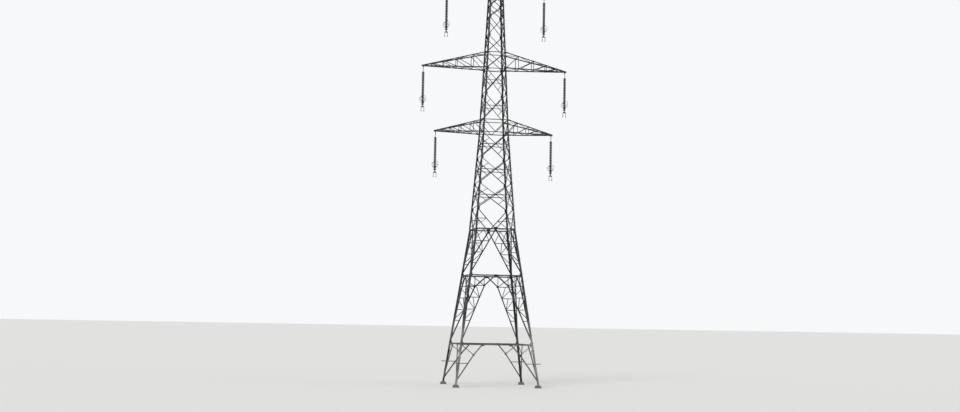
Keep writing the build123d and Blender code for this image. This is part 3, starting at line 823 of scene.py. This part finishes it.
def coated(name, group, colours, weathering, roughness, bump, shader_values):
    """A material from the weathering group.

    Its colours are clean, grimy, speck and washed, and weathering sets the group's other inputs.
    Roughness runs between two values with the grime. Bump is the strength of the grain's relief.
    """
    material = bpy.data.materials.new(name)
    material.use_nodes = True
    tree = material.node_tree
    colours = {key: (*c, 1) for key, c in zip(("Clean", "Grimy", "Speck", "Painted Lit"), colours)}
    weather = add_node(tree, "ShaderNodeGroup", colours | weathering, node_tree=group).outputs
    inputs = {"Value": weather["Grime"], "To Min": roughness[0], "To Max": roughness[1]}
    rough = add_node(tree, "ShaderNodeMapRange", inputs)
    inputs = {"Height": weather["Height"], "Strength": bump, "Distance": 0.001}
    relief = add_node(tree, "ShaderNodeBump", inputs)
    inputs = {"Base Color": weather["Color"], "Roughness": rough.outputs["Result"]}
    inputs["Normal"] = relief.outputs["Normal"]
    feed(tree, tree.nodes["Principled BSDF"], inputs | shader_values)


class PYLON_OT_finishes(bpy.types.Operator):
    """Make the finishes and put them on the nodes that stay as they are"""

    bl_idname = "pylon.finishes"
    bl_label = "Finishes"

    def execute(self, context):
        tones = context.scene.pylon_finishes
        group = weather_group()
        # The zinc colours carry painted shade, as near black stands for a tower in shade.
        grimy_painted_shade, rust, cement = tones.zinc_grimy_painted_shade, tones.rust, tones.cement
        zinc = (tones.zinc_clean_painted_shade, grimy_painted_shade, rust, tones.zinc_washed)
        # Painted light low down: full on the front legs' lower parts, some on the bars, little
        # elsewhere.
        for name, painted_light_share in (("zinc", 0.05), ("zinc_bars", 0.45), ("zinc_washed", 1.0)):
            weathering = {"Patch Scale": 1.6, "Streaks": 0.6, "Specks": 0.35, "Painted Light": painted_light_share}
            coated(name, group, zinc, weathering, (0.50, 0.78), 0.25, {"Metallic": 0.25})
        weathering = {"Patch Scale": 9.0, "Streaks": 0.4, "Specks": 0.4}
        # The fittings' steel comes from the grimy zinc, so it carries painted shade too.
        steel = (grimy_painted_shade * 0.8, grimy_painted_shade * 0.5, rust * 0.7)
        coated("fittings", group, steel, weathering, (0.45, 0.70), 0.3, {"Metallic": 0.3})
        coated(
            "glaze", group, (tones.glaze, tones.glaze * 0.5, cement * 0.25),
            {"Patch Scale": 14.0, "Streaks": 0.3, "Specks": 0.25, "Grain": 90.0},
            (0.20, 0.42), 0.05, {"Metallic": 0.0, "Coat Weight": 0.2},
        )
        coated(
            "cement", group, (cement, cement * 0.62, cement * 0.4),
            {"Patch Scale": 6.0, "Streaks": 0.7, "Specks": 0.6, "Grain": 150.0},
            (0.85, 0.96), 0.9, {"Metallic": 0.0},
        )
        for name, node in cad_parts.items():
            own = [finish for start, finish in NODE_FINISHES.items() if name.startswith(start)]
            node.data.materials.clear()
            node.data.materials.append(bpy.data.materials[own[0] if own else "zinc"])
        return {"FINISHED"}


class PYLON_OT_faces(bpy.types.Operator):
    """Brace the four faces with angle bars, gusset plates and bolts"""

    bl_idname = "pylon.faces"
    bl_label = "Braced Faces"

    def execute(self, context):
        sizes = context.scene.pylon_sizes
        wall = sizes.bar_wall
        stocks = {
            "main": angle_stock(MAIN_WIDTH, wall),
            "body": angle_stock(BODY_WIDTH, wall),
            "head": angle_stock(HEAD_WIDTH, wall),
            "thin": angle_stock(sizes.redundant_width, wall * THIN_WALL),
            "fine": angle_stock(FINE_WIDTH, wall * FINE_WALL),
        }
        bolt = head_bolt(context)
        plates = {name: plate_stock(wall, *size) for name, size in GUSSETS.items()}
        for turn, (name, halves) in enumerate(FACES.items()):
            made, bolts = [], []
            for stretch, stock, bars, layer, trim, count in bar_rows():
                depth = stretch.wall + layer * wall
                for bar in bars:
                    place, spots = bar_on_face(stretch, turn, bar, depth, trim, count)
                    made += copies(stocks[stock], [place])
                    bolts += spots
            for stretch, plate, points in gusset_rows():
                for x, z in points:
                    if stretch.meets_leg((x, z)):
                        x -= math.copysign(GUSSET_INSET, x)
                    spot = stretch.flat((x, z), stretch.wall + GUSSET_DEPTH)
                    made += copies(plates[plate], [stretch.face(turn) @ shift(*spot)])
            nodes = [f"upper_bracing_{name}", *(f"base_bracing_{name}_{half}" for half in halves)]
            finished(made, f"bars_{name}", *nodes, finish="zinc_bars")
            finished(copies(bolt, bolts), f"bolts_{name}", finish="zinc_bars")
        scrap(bolt, *stocks.values(), *plates.values())
        return {"FINISHED"}


class PYLON_OT_legs(bpy.types.Operator):
    """Put splice plates on the legs and step bolts up one of them"""

    bl_idname = "pylon.legs"
    bl_label = "Leg Splices And Steps"

    def execute(self, context):
        bolt = head_bolt(context)
        plates, bolts = [], []
        for stretch, height, length, width in SPLICES:
            plate = plate_stock(SPLICE_WALL, length, width, SPLICE_CORNER)
            pick(plate, facing_up)
            bpy.ops.mesh.bevel(offset=SPLICE_BEVEL, segments=1, affect="EDGES")
            deselect()
            for turn, side in FLANGES:
                inset = width / 2 + SPLICE_EDGE
                place = stretch.face(turn) @ stretch.along_leg(side, height, inset)
                plates += copies(plate, [place])
                for share in SPLICE_BOLTS:
                    across = math.copysign(SPLICE_ROW * width, share)
                    bolts.append(place @ shift(share * length, across, SPLICE_WALL))
            scrap(plate)
        finished(plates, "splices")
        finished(copies(bolt, bolts), "splice_bolts")
        scrap(bolt)
        self.steps()
        return {"FINISHED"}

    def steps(self):
        """Step bolts on the right front leg, in turn on its front and its right flange."""
        step = round_bar(STEP_RADIUS, (0, 0, 0), (0, 0, STEP_LENGTH))
        pick(step, facing_up)
        extrude(0)
        resize((2, 2, 1))
        extrude(STEP_HEAD)
        step = join([step, bolt_stock(*STEP_NUT)], "step")
        places = []
        for n in range(int((STEP_HIGH - STEP_LOW) / STEP_PITCH)):
            height = STEP_LOW + n * STEP_PITCH
            stretch = next(s for s in (BASE, BODY, HEAD) if height < s.high)
            turn, side = ((0, 1), (1, -1))[n % 2]
            if all(abs(height - splice[1]) >= splice[2] for splice in SPLICES):
                places.append(stretch.face(turn) @ stretch.along_leg(side, height, STEP_INSET))
        finished(copies(step, places), "step_bolts")
        scrap(step)


class PYLON_OT_guard(bpy.types.Operator):
    """Strain barbed strands between the brackets round each leg"""

    bl_idname = "pylon.guard"
    bl_label = "Climbing Guard"

    def execute(self, context):
        half = BASE.half(GUARD_HEIGHT)
        lift = GUARD_HEIGHT + STRAND_LIFT
        out = ARM_WALL * 1.5
        made = []
        for n in range(GUARD_STRANDS):
            reach = half + GUARD_REACH * (n + GUARD_FIRST) / GUARD_STRANDS
            start, end = Vector((reach, -half - out, lift)), Vector((half + out, -reach, lift))
            made.append(round_bar(STRAND_RADIUS, start, end, 6))
            along = (end - start).normalized()
            for step in range(1, int((end - start).length / BARB_PITCH)):
                spot = start + along * step * BARB_PITCH
                for lean in (-BARB_LEAN, BARB_LEAN):
                    dart = (UP + lean * along).normalized() * BARB_LENGTH / 2
                    made.append(round_bar(BARB_RADIUS, spot - dart, spot + dart, 5))
        bolt = head_bolt(context)
        for turn, side in ((0, 1), (1, -1)):
            for inset in GUARD_BOLTS:
                spot = BASE.flat((side * (half - inset), GUARD_HEIGHT), -ARM_WALL)
                made += copies(bolt, [BASE.face(turn) @ shift(*spot)])
        corner = join(made, "guard_corner")
        corners = copies(corner, [turn_by(90 * turn, "Z") for turn in range(4)])
        finished(corners, "guard_strands")
        scrap(bolt, corner)
        return {"FINISHED"}


class ArmSide:
    """One side frame of a crossarm: points on its outer face, and directions in it."""

    def __init__(self, chord, top, reach, side, front):
        low, high = HEAD.half(chord) - ARM_INSET, HEAD.half(top) - ARM_INSET
        self.start = Vector((side * low, front * low, chord))
        tip = Vector((side * (reach + TIP_OVERRUN), front * ARM_TIP_HALF, chord)) - self.start
        roof = Vector((side * high, front * high, top)) - self.start
        self.length = tip.length
        self.along = tip.normalized()
        self.up = (roof - roof.dot(self.along) * self.along).normalized()
        self.out = -side * front * self.along.cross(self.up)
        self.root = (roof.dot(self.along), roof.dot(self.up))
        self.fall = (self.root[1] - ARM_TIP_DEPTH) / (self.length - self.root[0])

    def roof(self, x):
        """Height of the roof's edge over the chord."""
        return self.root[1] - self.fall * (x - self.root[0])

    def point(self, x, y, out=0.0):
        """A point at a distance along the chord and a height over it."""
        return self.start + x * self.along + y * self.up + out * self.out

    def low(self, x, out=0.0):
        """A point of the chord's middle line."""
        return self.point(x, ARM_CHORD_WIDTH / 2, out)

    def high(self, x, out=0.0):
        """A point of the middle line of the bar along the roof's edge."""
        return self.point(x, self.roof(x) - ARM_CHORD_WIDTH / 2, out)


class PYLON_OT_arms(bpy.types.Operator):
    """Build the crossarms from angle bars, with plates and bolts where the bars meet"""

    bl_idname = "pylon.arms"
    bl_label = "Crossarms"

    def execute(self, context):
        stocks = {
            "chord": angle_stock(ARM_CHORD_WIDTH, ARM_CHORD_WALL, 1.0),
            "lace": angle_stock(ARM_LACE_WIDTH, ARM_WALL * THIN_WALL),
            "plate": plate_stock(ARM_WALL, *ARM_PLATE),
            "root": plate_stock(ARM_WALL, *ARM_ROOT),
        }
        bolt = head_bolt(context, ARM_BOLT)
        for name, (chord, top, reach) in ARMS.items():
            for key, side in SIDES.items():
                sides = [ArmSide(chord, top, reach, side, front) for front in (-1, 1)]
                pieces, bolts = [], []
                for roof in (False, True):
                    pieces += self.deck(stocks["lace"], sides, roof)
                for arm_side in sides:
                    pieces += self.side_bars(stocks, arm_side)
                    self.side_plates(stocks, arm_side, pieces, bolts)
                pieces += self.tip_plate(side, reach, chord)
                arm = f"{name}_{key}"
                finished(pieces, f"arm_{arm}", f"crossarm_{arm}")
                finished(copies(bolt, bolts), f"arm_bolts_{arm}")
        scrap(bolt, *stocks.values())
        return {"FINISHED"}

    def side_bars(self, stocks, side):
        """Chords, uprights and diagonals of a side frame."""
        chord, lace = stocks["chord"], stocks["lace"]
        made = edge_bar(chord, side.low(0), side.low(side.length), side.out, -side.up)
        start, end = side.high(side.root[0]), side.high(side.length)
        made += edge_bar(chord, start, end, side.out, side.up)
        for before, after in zip(ARM_PANELS, ARM_PANELS[1:]):
            top = side.high(after * side.length, -ARM_CHORD_WALL)
            for share in (before, after):
                foot = side.low(share * side.length, -ARM_CHORD_WALL)
                made += edge_bar(lace, foot, top, side.out, side.along)
        return made

    def deck(self, lace, sides, roof):
        """Struts and diagonals between the two side frames, on the floor or under the roof."""
        drop = ARM_CHORD_WALL + NEAR
        up = UP if roof else -UP

        def spot(side, share):
            x = share * side.length
            return side.point(x, side.roof(x) - drop if roof else drop, -ARM_CHORD_WIDTH / 2)

        made = []
        for n, (before, after) in enumerate(zip(ARM_PANELS, ARM_PANELS[1:])):
            front, back = sides if n % 2 else sides[::-1]
            for share in (after, before):
                made += edge_bar(lace, spot(front, share), spot(back, after), up, front.along)
        return made

    def side_plates(self, stocks, side, pieces, bolts):
        """Plates with bolts at the meeting points of a side frame, and larger ones at its root."""
        rows = [("plate", *[x * side.length] * 2, ARM_PLATE_BOLTS) for x in ARM_PANELS[1:]]
        rows.append(("root", ARM_ROOT_PLATE, side.root[0] + ARM_ROOT_PLATE, ARM_ROOT_BOLTS))
        slope = side.along - side.fall * side.up
        for stock, low_x, high_x, spots in rows:
            for spot, along in ((side.low(low_x), side.along), (side.high(high_x), slope)):
                place = frame_on(spot, along, side.out)
                pieces += copies(stocks[stock], [place])
                bolts += [place @ shift(x, y, ARM_WALL) for x, y in spots]
        for back in ARM_TIP_BOLTS:
            bolts.append(frame_on(side.low(side.length - back), side.along, side.out))

    def tip_plate(self, side, reach, chord):
        """The plate on edge between the chords, with its eye for the pin, and two packers."""
        half = TIP_PLATE_WALL / 2
        end = reach + TIP_OVERRUN
        plate = box_blank((end - ARM_GUSSET, -half, chord), (end, half, chord + ARM_TIP_DEPTH))
        bpy.ops.object.mode_set(mode="EDIT")
        for x in (reach - 2 * EYE_RADIUS, reach + 2 * EYE_RADIUS):
            bpy.ops.mesh.select_all(action="SELECT")
            bpy.ops.mesh.bisect(plane_co=(x, 0, 0), plane_no=(1, 0, 0))
        pick(plate, lambda c, n: n.z < -ALIGNED and abs(c.x - reach) < EYE_RADIUS)
        bottom = chord - PIN_DROP - EYE_RADIUS
        extrude(bottom - chord)
        resize((0.5, 1, 1), (reach, 0, 0))
        bevel(plate, lambda c, d: c.z < bottom + NEAR and abs(d.y) > ALIGNED, EYE_RADIUS * 0.75, 4)
        pieces = [plate]
        for low_y, high_y in ((half, ARM_TIP_HALF), (-ARM_TIP_HALF, -half)):
            low = (end - PACKER_LOW[0], low_y, chord + PACKER_LOW[1])
            high = (end - PACKER_HIGH[0], high_y, chord + PACKER_HIGH[1])
            pieces.append(block(low, high, 1, 0.006, 2))
        return [moved(piece, HALF_TURN) for piece in pieces] if side < 0 else pieces


class PYLON_OT_ends(bpy.types.Operator):
    """Bolt the peak together and cast the muffs round the feet"""

    bl_idname = "pylon.ends"
    bl_label = "Peak And Muffs"

    def execute(self, context):
        bolt = head_bolt(context, PEAK_BOLT)
        plate = plate_stock(*PEAK_PLATE)
        made = []
        for turn, side in FLANGES:
            for height in PEAK_JOINTS:
                place = PEAK.face(turn) @ PEAK.along_leg(side, height, PEAK_INSET)
                made += copies(bolt, [place @ shift(x, 0, 0) for x in PEAK_BOLTS])
                inward = shift(0, side * PEAK_INSET, -PEAK_PLATE_DEPTH)
                made += copies(plate, [place @ inward @ QUARTER_TURN])
        finished(made, "peak_bolts")
        scrap(bolt, plate)
        self.muffs()
        return {"FINISHED"}

    def muffs(self):
        """Four muffs with battered sides, softened edges and a sloped cap against the rain."""
        share = MUFF_TOP_HALF / MUFF_HALF
        muff = box_blank((-MUFF_HALF, -MUFF_HALF, 0), (MUFF_HALF, MUFF_HALF, MUFF_TOP))
        pick(muff, facing_up)
        resize((share, share, 1))
        inset, rise, share = MUFF_CAP
        bpy.ops.mesh.inset(thickness=inset)
        extrude(rise)
        resize((share, share, 1))
        smooth(bevel(muff, lambda c, d: c.z > NEAR, MUFF_ROUND, 2), 40)
        at = BASE.half(MUFF_TOP) - LEG_HALF
        places = [shift(x * at, y * at, 0) for x in (-1, 1) for y in (-1, 1)]
        finished(copies(muff, places), "muffs", "concrete_muffs", finish="cement")
        scrap(muff)


def bolt_heads(x, z, reach, width, height):
    """The head of a bolt along y and its nut, at both sides of what it goes through."""
    return [
        moved(bolt_stock(width, height), shift(x, side * reach, z) @ turn_by(-90 * side, "X"))
        for side in (-1, 1)
    ]


def cross_bolt(x, z, reach, width):
    """A bolt along y through a plate, with its head and its nut."""
    shank = round_bar(width * 0.3, (x, -reach, z), (x, reach, z))
    return [*bolt_heads(x, z, reach, width, width * 0.45), shank]


def clevis(stem_end):
    """Pieces of a clevis on a pin along y: cheeks, pin with head and nut, bridge and stem."""
    cheek = block((-0.015, 0.008, -0.053), (0.015, 0.014, 0.015), 1, 0.013)
    pin = smooth(round_bar(0.006, (0, -0.020, 0), (0, 0.020, 0), 10))
    bridge = block((-0.015, -0.014, -0.064), (0.015, 0.014, -0.050), 2, 0.005)
    stem = [(0.013, -0.060), (0.010, -0.072), (0.009, stem_end + 0.006), (0.012, stem_end)]
    heads = bolt_heads(0, 0, 0.014, 0.020, 0.007)
    return [*with_twin(cheek), pin, *heads, bridge, smooth(turned_blank(stem, CAP_SIDES))]


def string_places():
    """The six strings: their name and the matrix of their own pin."""
    for name, (chord, top, reach) in ARMS.items():
        for key, side in SIDES.items():
            yield f"{name}_{key}", shift(side * reach, 0, chord - PIN_DROP - SHACKLE_DROP)


def hang(stock, name, node, body, lift=0):
    """A copy of a steel piece on each string's pin or above it, with its node and its body."""
    for key, place in string_places():
        made = copies(stock, [place @ shift(0, 0, lift)])
        names = f"{name}_{key}", f"{node}_{key}"
        finished(made, *names, finish="fittings", body=f"{body}_{key}")
    scrap(stock)


class PYLON_OT_strings(bpy.types.Operator):
    """Hang six strings of cap-and-pin discs, each from its clevis"""

    bl_idname = "pylon.strings"
    bl_label = "Insulator Strings"

    def execute(self, context):
        sizes = context.scene.pylon_sizes
        rim = sizes.disc_radius
        profile = [
            (0.025, -0.016), (rim * 0.66, -0.021), (rim * 0.90, -0.031), (rim, -0.045),
            (rim * 0.99, -0.078), (rim * 0.90, -0.081), (rim * 0.84, -0.060),
            (rim * 0.62, -0.058), (rim * 0.58, -0.074), (rim * 0.48, -0.074), (0.016, -0.054),
        ]
        shell = smooth(turned_blank(profile, sizes.disc_sides), 50)
        profile = [
            (0.016, 0), (0.023, -0.002), (0.026, -0.009), (0.027, -0.022), (0.030, -0.027),
            (0.020, -0.030),
        ]
        cap = smooth(turned_blank(profile, CAP_SIDES), 50)
        pin = round_bar(0.008, (0, 0, -0.055), (0, 0, -0.090))
        link = join(clevis(-CAP_DROP), "link")
        for key, place in string_places():
            drops = [place @ shift(0, 0, -CAP_DROP - n * DISC_PITCH) for n in range(DISC_COUNT)]
            body, node = f"string_{key}", f"insulator_{key}"
            finished(copies(shell, drops), f"discs_{key}", node, finish="glaze", body=body)
            metal = copies(cap, drops) + copies(pin, drops) + copies(link, [place @ QUARTER_TURN])
            finished(metal, f"caps_{key}", finish="fittings", body=body)
        scrap(shell, cap, pin, link)
        return {"FINISHED"}


class PYLON_OT_shackles(bpy.types.Operator):
    """Put a shackle on each arm's pin, with an eye below it for the string's clevis"""

    bl_idname = "pylon.shackles"
    bl_label = "Shackles"

    def execute(self, context):
        eye = block((-0.004, -0.015, -0.125), (0.004, 0.015, -0.066), 0, 0.013)
        stock = join([*clevis(-0.090), eye], "shackle")
        hang(stock, "link", "shackle", "shackle", SHACKLE_DROP)
        return {"FINISHED"}


class PYLON_OT_yokes(bpy.types.Operator):
    """Hang a yoke plate, arcing horns and two conductor clamps under each string"""

    bl_idname = "pylon.yokes"
    bl_label = "Yokes And Horns"

    def execute(self, context):
        pieces = self.plate()
        for side in (-1, 1):
            pieces += self.clamp(side * CLAMP_SPREAD)
            pieces += self.hanger(side * CLAMP_SPREAD)
            pieces.append(self.horn(side))
        top = -CAP_DROP - DISC_COUNT * DISC_PITCH - YOKE_GAP
        hang(moved(join(pieces, "yoke"), shift(0, 0, top)), "fittings", "yoke", "string")
        return {"FINISHED"}

    def plate(self):
        """The yoke plate below z = 0, its link to the string and the bolts through it."""
        half = CLAMP_SPREAD + 0.024
        plate = box_blank((-half, -YOKE_HALF_WALL, -YOKE_HEIGHT), (half, YOKE_HALF_WALL, 0))
        pick(plate, facing_up)
        resize((0.28, 1, 1))
        bevel(plate, lambda c, d: abs(d.y) > ALIGNED, 0.014, 3)
        profile = [
            (0.010, YOKE_GAP + 0.004), (0.014, YOKE_GAP - 0.006), (0.009, 0.028),
            (0.009, 0.014), (0.016, 0.006), (0.013, -0.008),
        ]
        link = smooth(turned_blank(profile, CAP_SIDES))
        cheek = block((-0.016, YOKE_HALF_WALL, -0.036), (0.016, 0.011, 0.012), 1, 0.010)
        pieces = [plate, link, *with_twin(cheek), *cross_bolt(0, -0.016, 0.011, 0.018)]
        for side in (-1, 1):
            pieces += cross_bolt(side * CLAMP_SPREAD, 0.016 - YOKE_HEIGHT, 0.011, 0.018)
        return pieces

    def hanger(self, x):
        """Two straps on either side of the plate, down to the clamp's body."""
        end = 0.014 - YOKE_HEIGHT - CLAMP_DROP
        low, high = (-0.010, YOKE_HALF_WALL, end - 0.004), (0.010, 0.010, 0.030 - YOKE_HEIGHT)
        straps = [moved(strap, shift(x, 0, 0)) for strap in with_twin(block(low, high, 1, 0.009))]
        return straps + cross_bolt(x, end + 0.012, 0.010, 0.014)

    def clamp(self, x):
        """A boat-shaped clamp: trough with a bore, keeper and the nuts of two U-bolts."""
        half = CLAMP_LENGTH / 2
        trough = block((-0.013, -half, -0.016), (0.013, half, -0.006), 1, 0.004, 2)
        pick(trough, lambda c, n: n.z < -ALIGNED)
        resize((0.6, 0.45, 1))
        deselect()
        bpy.ops.mesh.primitive_cylinder_add(
            vertices=20, radius=CONDUCTOR_RADIUS, depth=CLAMP_LENGTH, end_fill_type="NOTHING",
            rotation=(math.radians(90), 0, 0),
        )
        barrel = applied()
        wall = barrel.modifiers.new("wall", "SOLIDIFY")
        wall.thickness, wall.offset = 0.004, 1
        bpy.ops.object.modifier_apply(modifier="wall")
        keeper = block((-0.014, -0.034, 0.008), (0.014, 0.034, 0.014), 2, 0.006)
        pieces = [trough, smooth(barrel), keeper]
        for side in (-1, 1):
            for y in (-0.022, 0.022):
                top, bottom = (side * 0.0115, y, 0.015), (side * 0.0125, y, -0.012)
                nut = moved(bolt_stock(0.011, 0.006), shift(side * 0.0105, y, 0.014))
                pieces += [nut, round_bar(0.003, bottom, top)]
        return [moved(piece, shift(x, 0, -YOKE_HEIGHT - CLAMP_DROP)) for piece in pieces]

    def horn(self, side):
        """An arcing horn: a ring of round bar on a stem that leans out along the line."""
        deselect()
        bpy.ops.curve.primitive_bezier_circle_add(radius=1, location=(0, 0, 0))
        ring = bpy.context.object
        oval = Matrix.Diagonal((HORN_HALF, 1, HORN_RING[0], 1))
        ring.data.transform(shift(0, 0, sum(HORN_RING)) @ oval @ turn_by(90, "X"))
        ring.data.bevel_depth = HORN_BAR / 2
        ring.data.bevel_resolution = 1
        ring.data.resolution_u = 7
        ring.select_set(True)
        bpy.ops.object.convert(target="MESH")
        ring = smooth(applied(), 60)
        stem = round_bar(HORN_BAR / 2 + 0.001, (0, 0, -0.012), (0, 0, HORN_RING[1] + 0.002), 10)
        foot = block((-0.012, -0.004, -0.020), (0.012, 0.004, 0.016), 1, 0.006)
        piece = join([ring, smooth(stem), foot], "horn")
        return moved(piece, shift(0, side * -0.008, 0) @ turn_by(side * HORN_LEAN, "X"))


class PYLON_OT_stage(bpy.types.Operator):
    """Floor, light and the camera at the photograph's place"""

    bl_idname = "pylon.stage"
    bl_label = "Stage"

    def execute(self, context):
        deselect()
        bpy.ops.mesh.primitive_plane_add(size=FLOOR_SIZE, location=(0, 0, 0))
        floor = context.object
        floor.name = "floor"
        paint = bpy.data.materials.new("floor_paint")
        paint.use_nodes = True
        tree = paint.node_tree
        inputs = {"Base Color": (*context.scene.pylon_finishes.floor, 1), "Roughness": 0.9}
        feed(tree, tree.nodes["Principled BSDF"], inputs)
        floor.data.materials.append(paint)
        self.sky(context.scene)
        for name, strength, turn, tilt in LAMPS:
            bpy.ops.object.light_add(type="SUN", location=(0, 0, LAMP_HEIGHT))
            lamp = context.object
            lamp.name = name
            lamp.data.energy = strength
            lamp.data.angle = math.radians(LAMP_SPREAD)
            lamp.rotation_euler = (math.radians(tilt), 0, math.radians(turn))
        bpy.ops.object.camera_add(location=CAMERA_PLACE)
        camera = context.object
        camera.name = "camera"
        camera.rotation_mode = "QUATERNION"
        yaw, pitch, roll = CAMERA_TURN
        turn = turn_by(-yaw, "Z") @ turn_by(90 + pitch, "X") @ turn_by(roll, "Z")
        camera.rotation_quaternion = turn.to_quaternion()
        camera.data.sensor_width = SENSOR_WIDTH
        camera.data.lens = FOCAL_PIXELS * SENSOR_WIDTH / PHOTO_WIDTH
        camera.data.clip_end = FLOOR_SIZE
        context.scene.camera = camera
        context.scene.view_settings.view_transform = "Standard"
        return {"FINISHED"}

    def sky(self, scene):
        """An even light, with a white background for the camera and for reflections."""
        world = bpy.data.worlds.new("sky")
        scene.world = world
        world.use_nodes = True
        tree = world.node_tree
        light = tree.nodes["Background"]
        feed(tree, light, {"Color": (1, 1, 1, 1), "Strength": 0.5})
        seen = add_node(tree, "ShaderNodeBackground", {"Color": (0.93, 0.94, 0.95, 1)})
        path = tree.nodes.new("ShaderNodeLightPath").outputs
        rays = maths(tree, "MAXIMUM", path["Is Camera Ray"], path["Is Transmission Ray"])
        rays = maths(tree, "MAXIMUM", rays, path["Is Glossy Ray"])
        inputs = {"Fac": rays, 1: light.outputs["Background"], 2: seen.outputs["Background"]}
        mix = add_node(tree, "ShaderNodeMixShader", inputs)
        feed(tree, tree.nodes["World Output"], {"Surface": mix.outputs["Shader"]})


class PYLON_PT_panel(bpy.types.Panel):
    """Sizes, colours and the steps, in order"""

    bl_label = "Lattice Pylon"
    bl_idname = "PYLON_PT_panel"
    bl_space_type = "VIEW_3D"
    bl_region_type = "UI"
    bl_category = "Pylon"

    def draw(self, context):
        for group in (context.scene.pylon_sizes, context.scene.pylon_finishes):
            column = self.layout.column()
            for name in group.__annotations__:
                column.prop(group, name)
        for step in STEPS:
            self.layout.operator(step.bl_idname)


STEPS = (
    PYLON_OT_finishes,
    PYLON_OT_faces,
    PYLON_OT_legs,
    PYLON_OT_guard,
    PYLON_OT_arms,
    PYLON_OT_ends,
    PYLON_OT_strings,
    PYLON_OT_shackles,
    PYLON_OT_yokes,
    PYLON_OT_stage,
)
CLASSES = (PylonSizes, PylonFinishes, *STEPS, PYLON_PT_panel)


def register():
    for cls in CLASSES:
        bpy.utils.register_class(cls)
    bpy.types.Scene.pylon_sizes = PointerProperty(type=PylonSizes)
    bpy.types.Scene.pylon_finishes = PointerProperty(type=PylonFinishes)


def unregister():
    del bpy.types.Scene.pylon_finishes
    del bpy.types.Scene.pylon_sizes
    for cls in reversed(CLASSES):
        bpy.utils.unregister_class(cls)


def main():
    """Run every step."""
    register()
    bpy.ops.pylon.finishes()
    bpy.ops.pylon.faces()
    bpy.ops.pylon.legs()
    bpy.ops.pylon.guard()
    bpy.ops.pylon.arms()
    bpy.ops.pylon.ends()
    bpy.ops.pylon.strings()
    bpy.ops.pylon.shackles()
    bpy.ops.pylon.yokes()
    bpy.ops.pylon.stage()
    deselect()


if __name__ == "__main__":
    main()
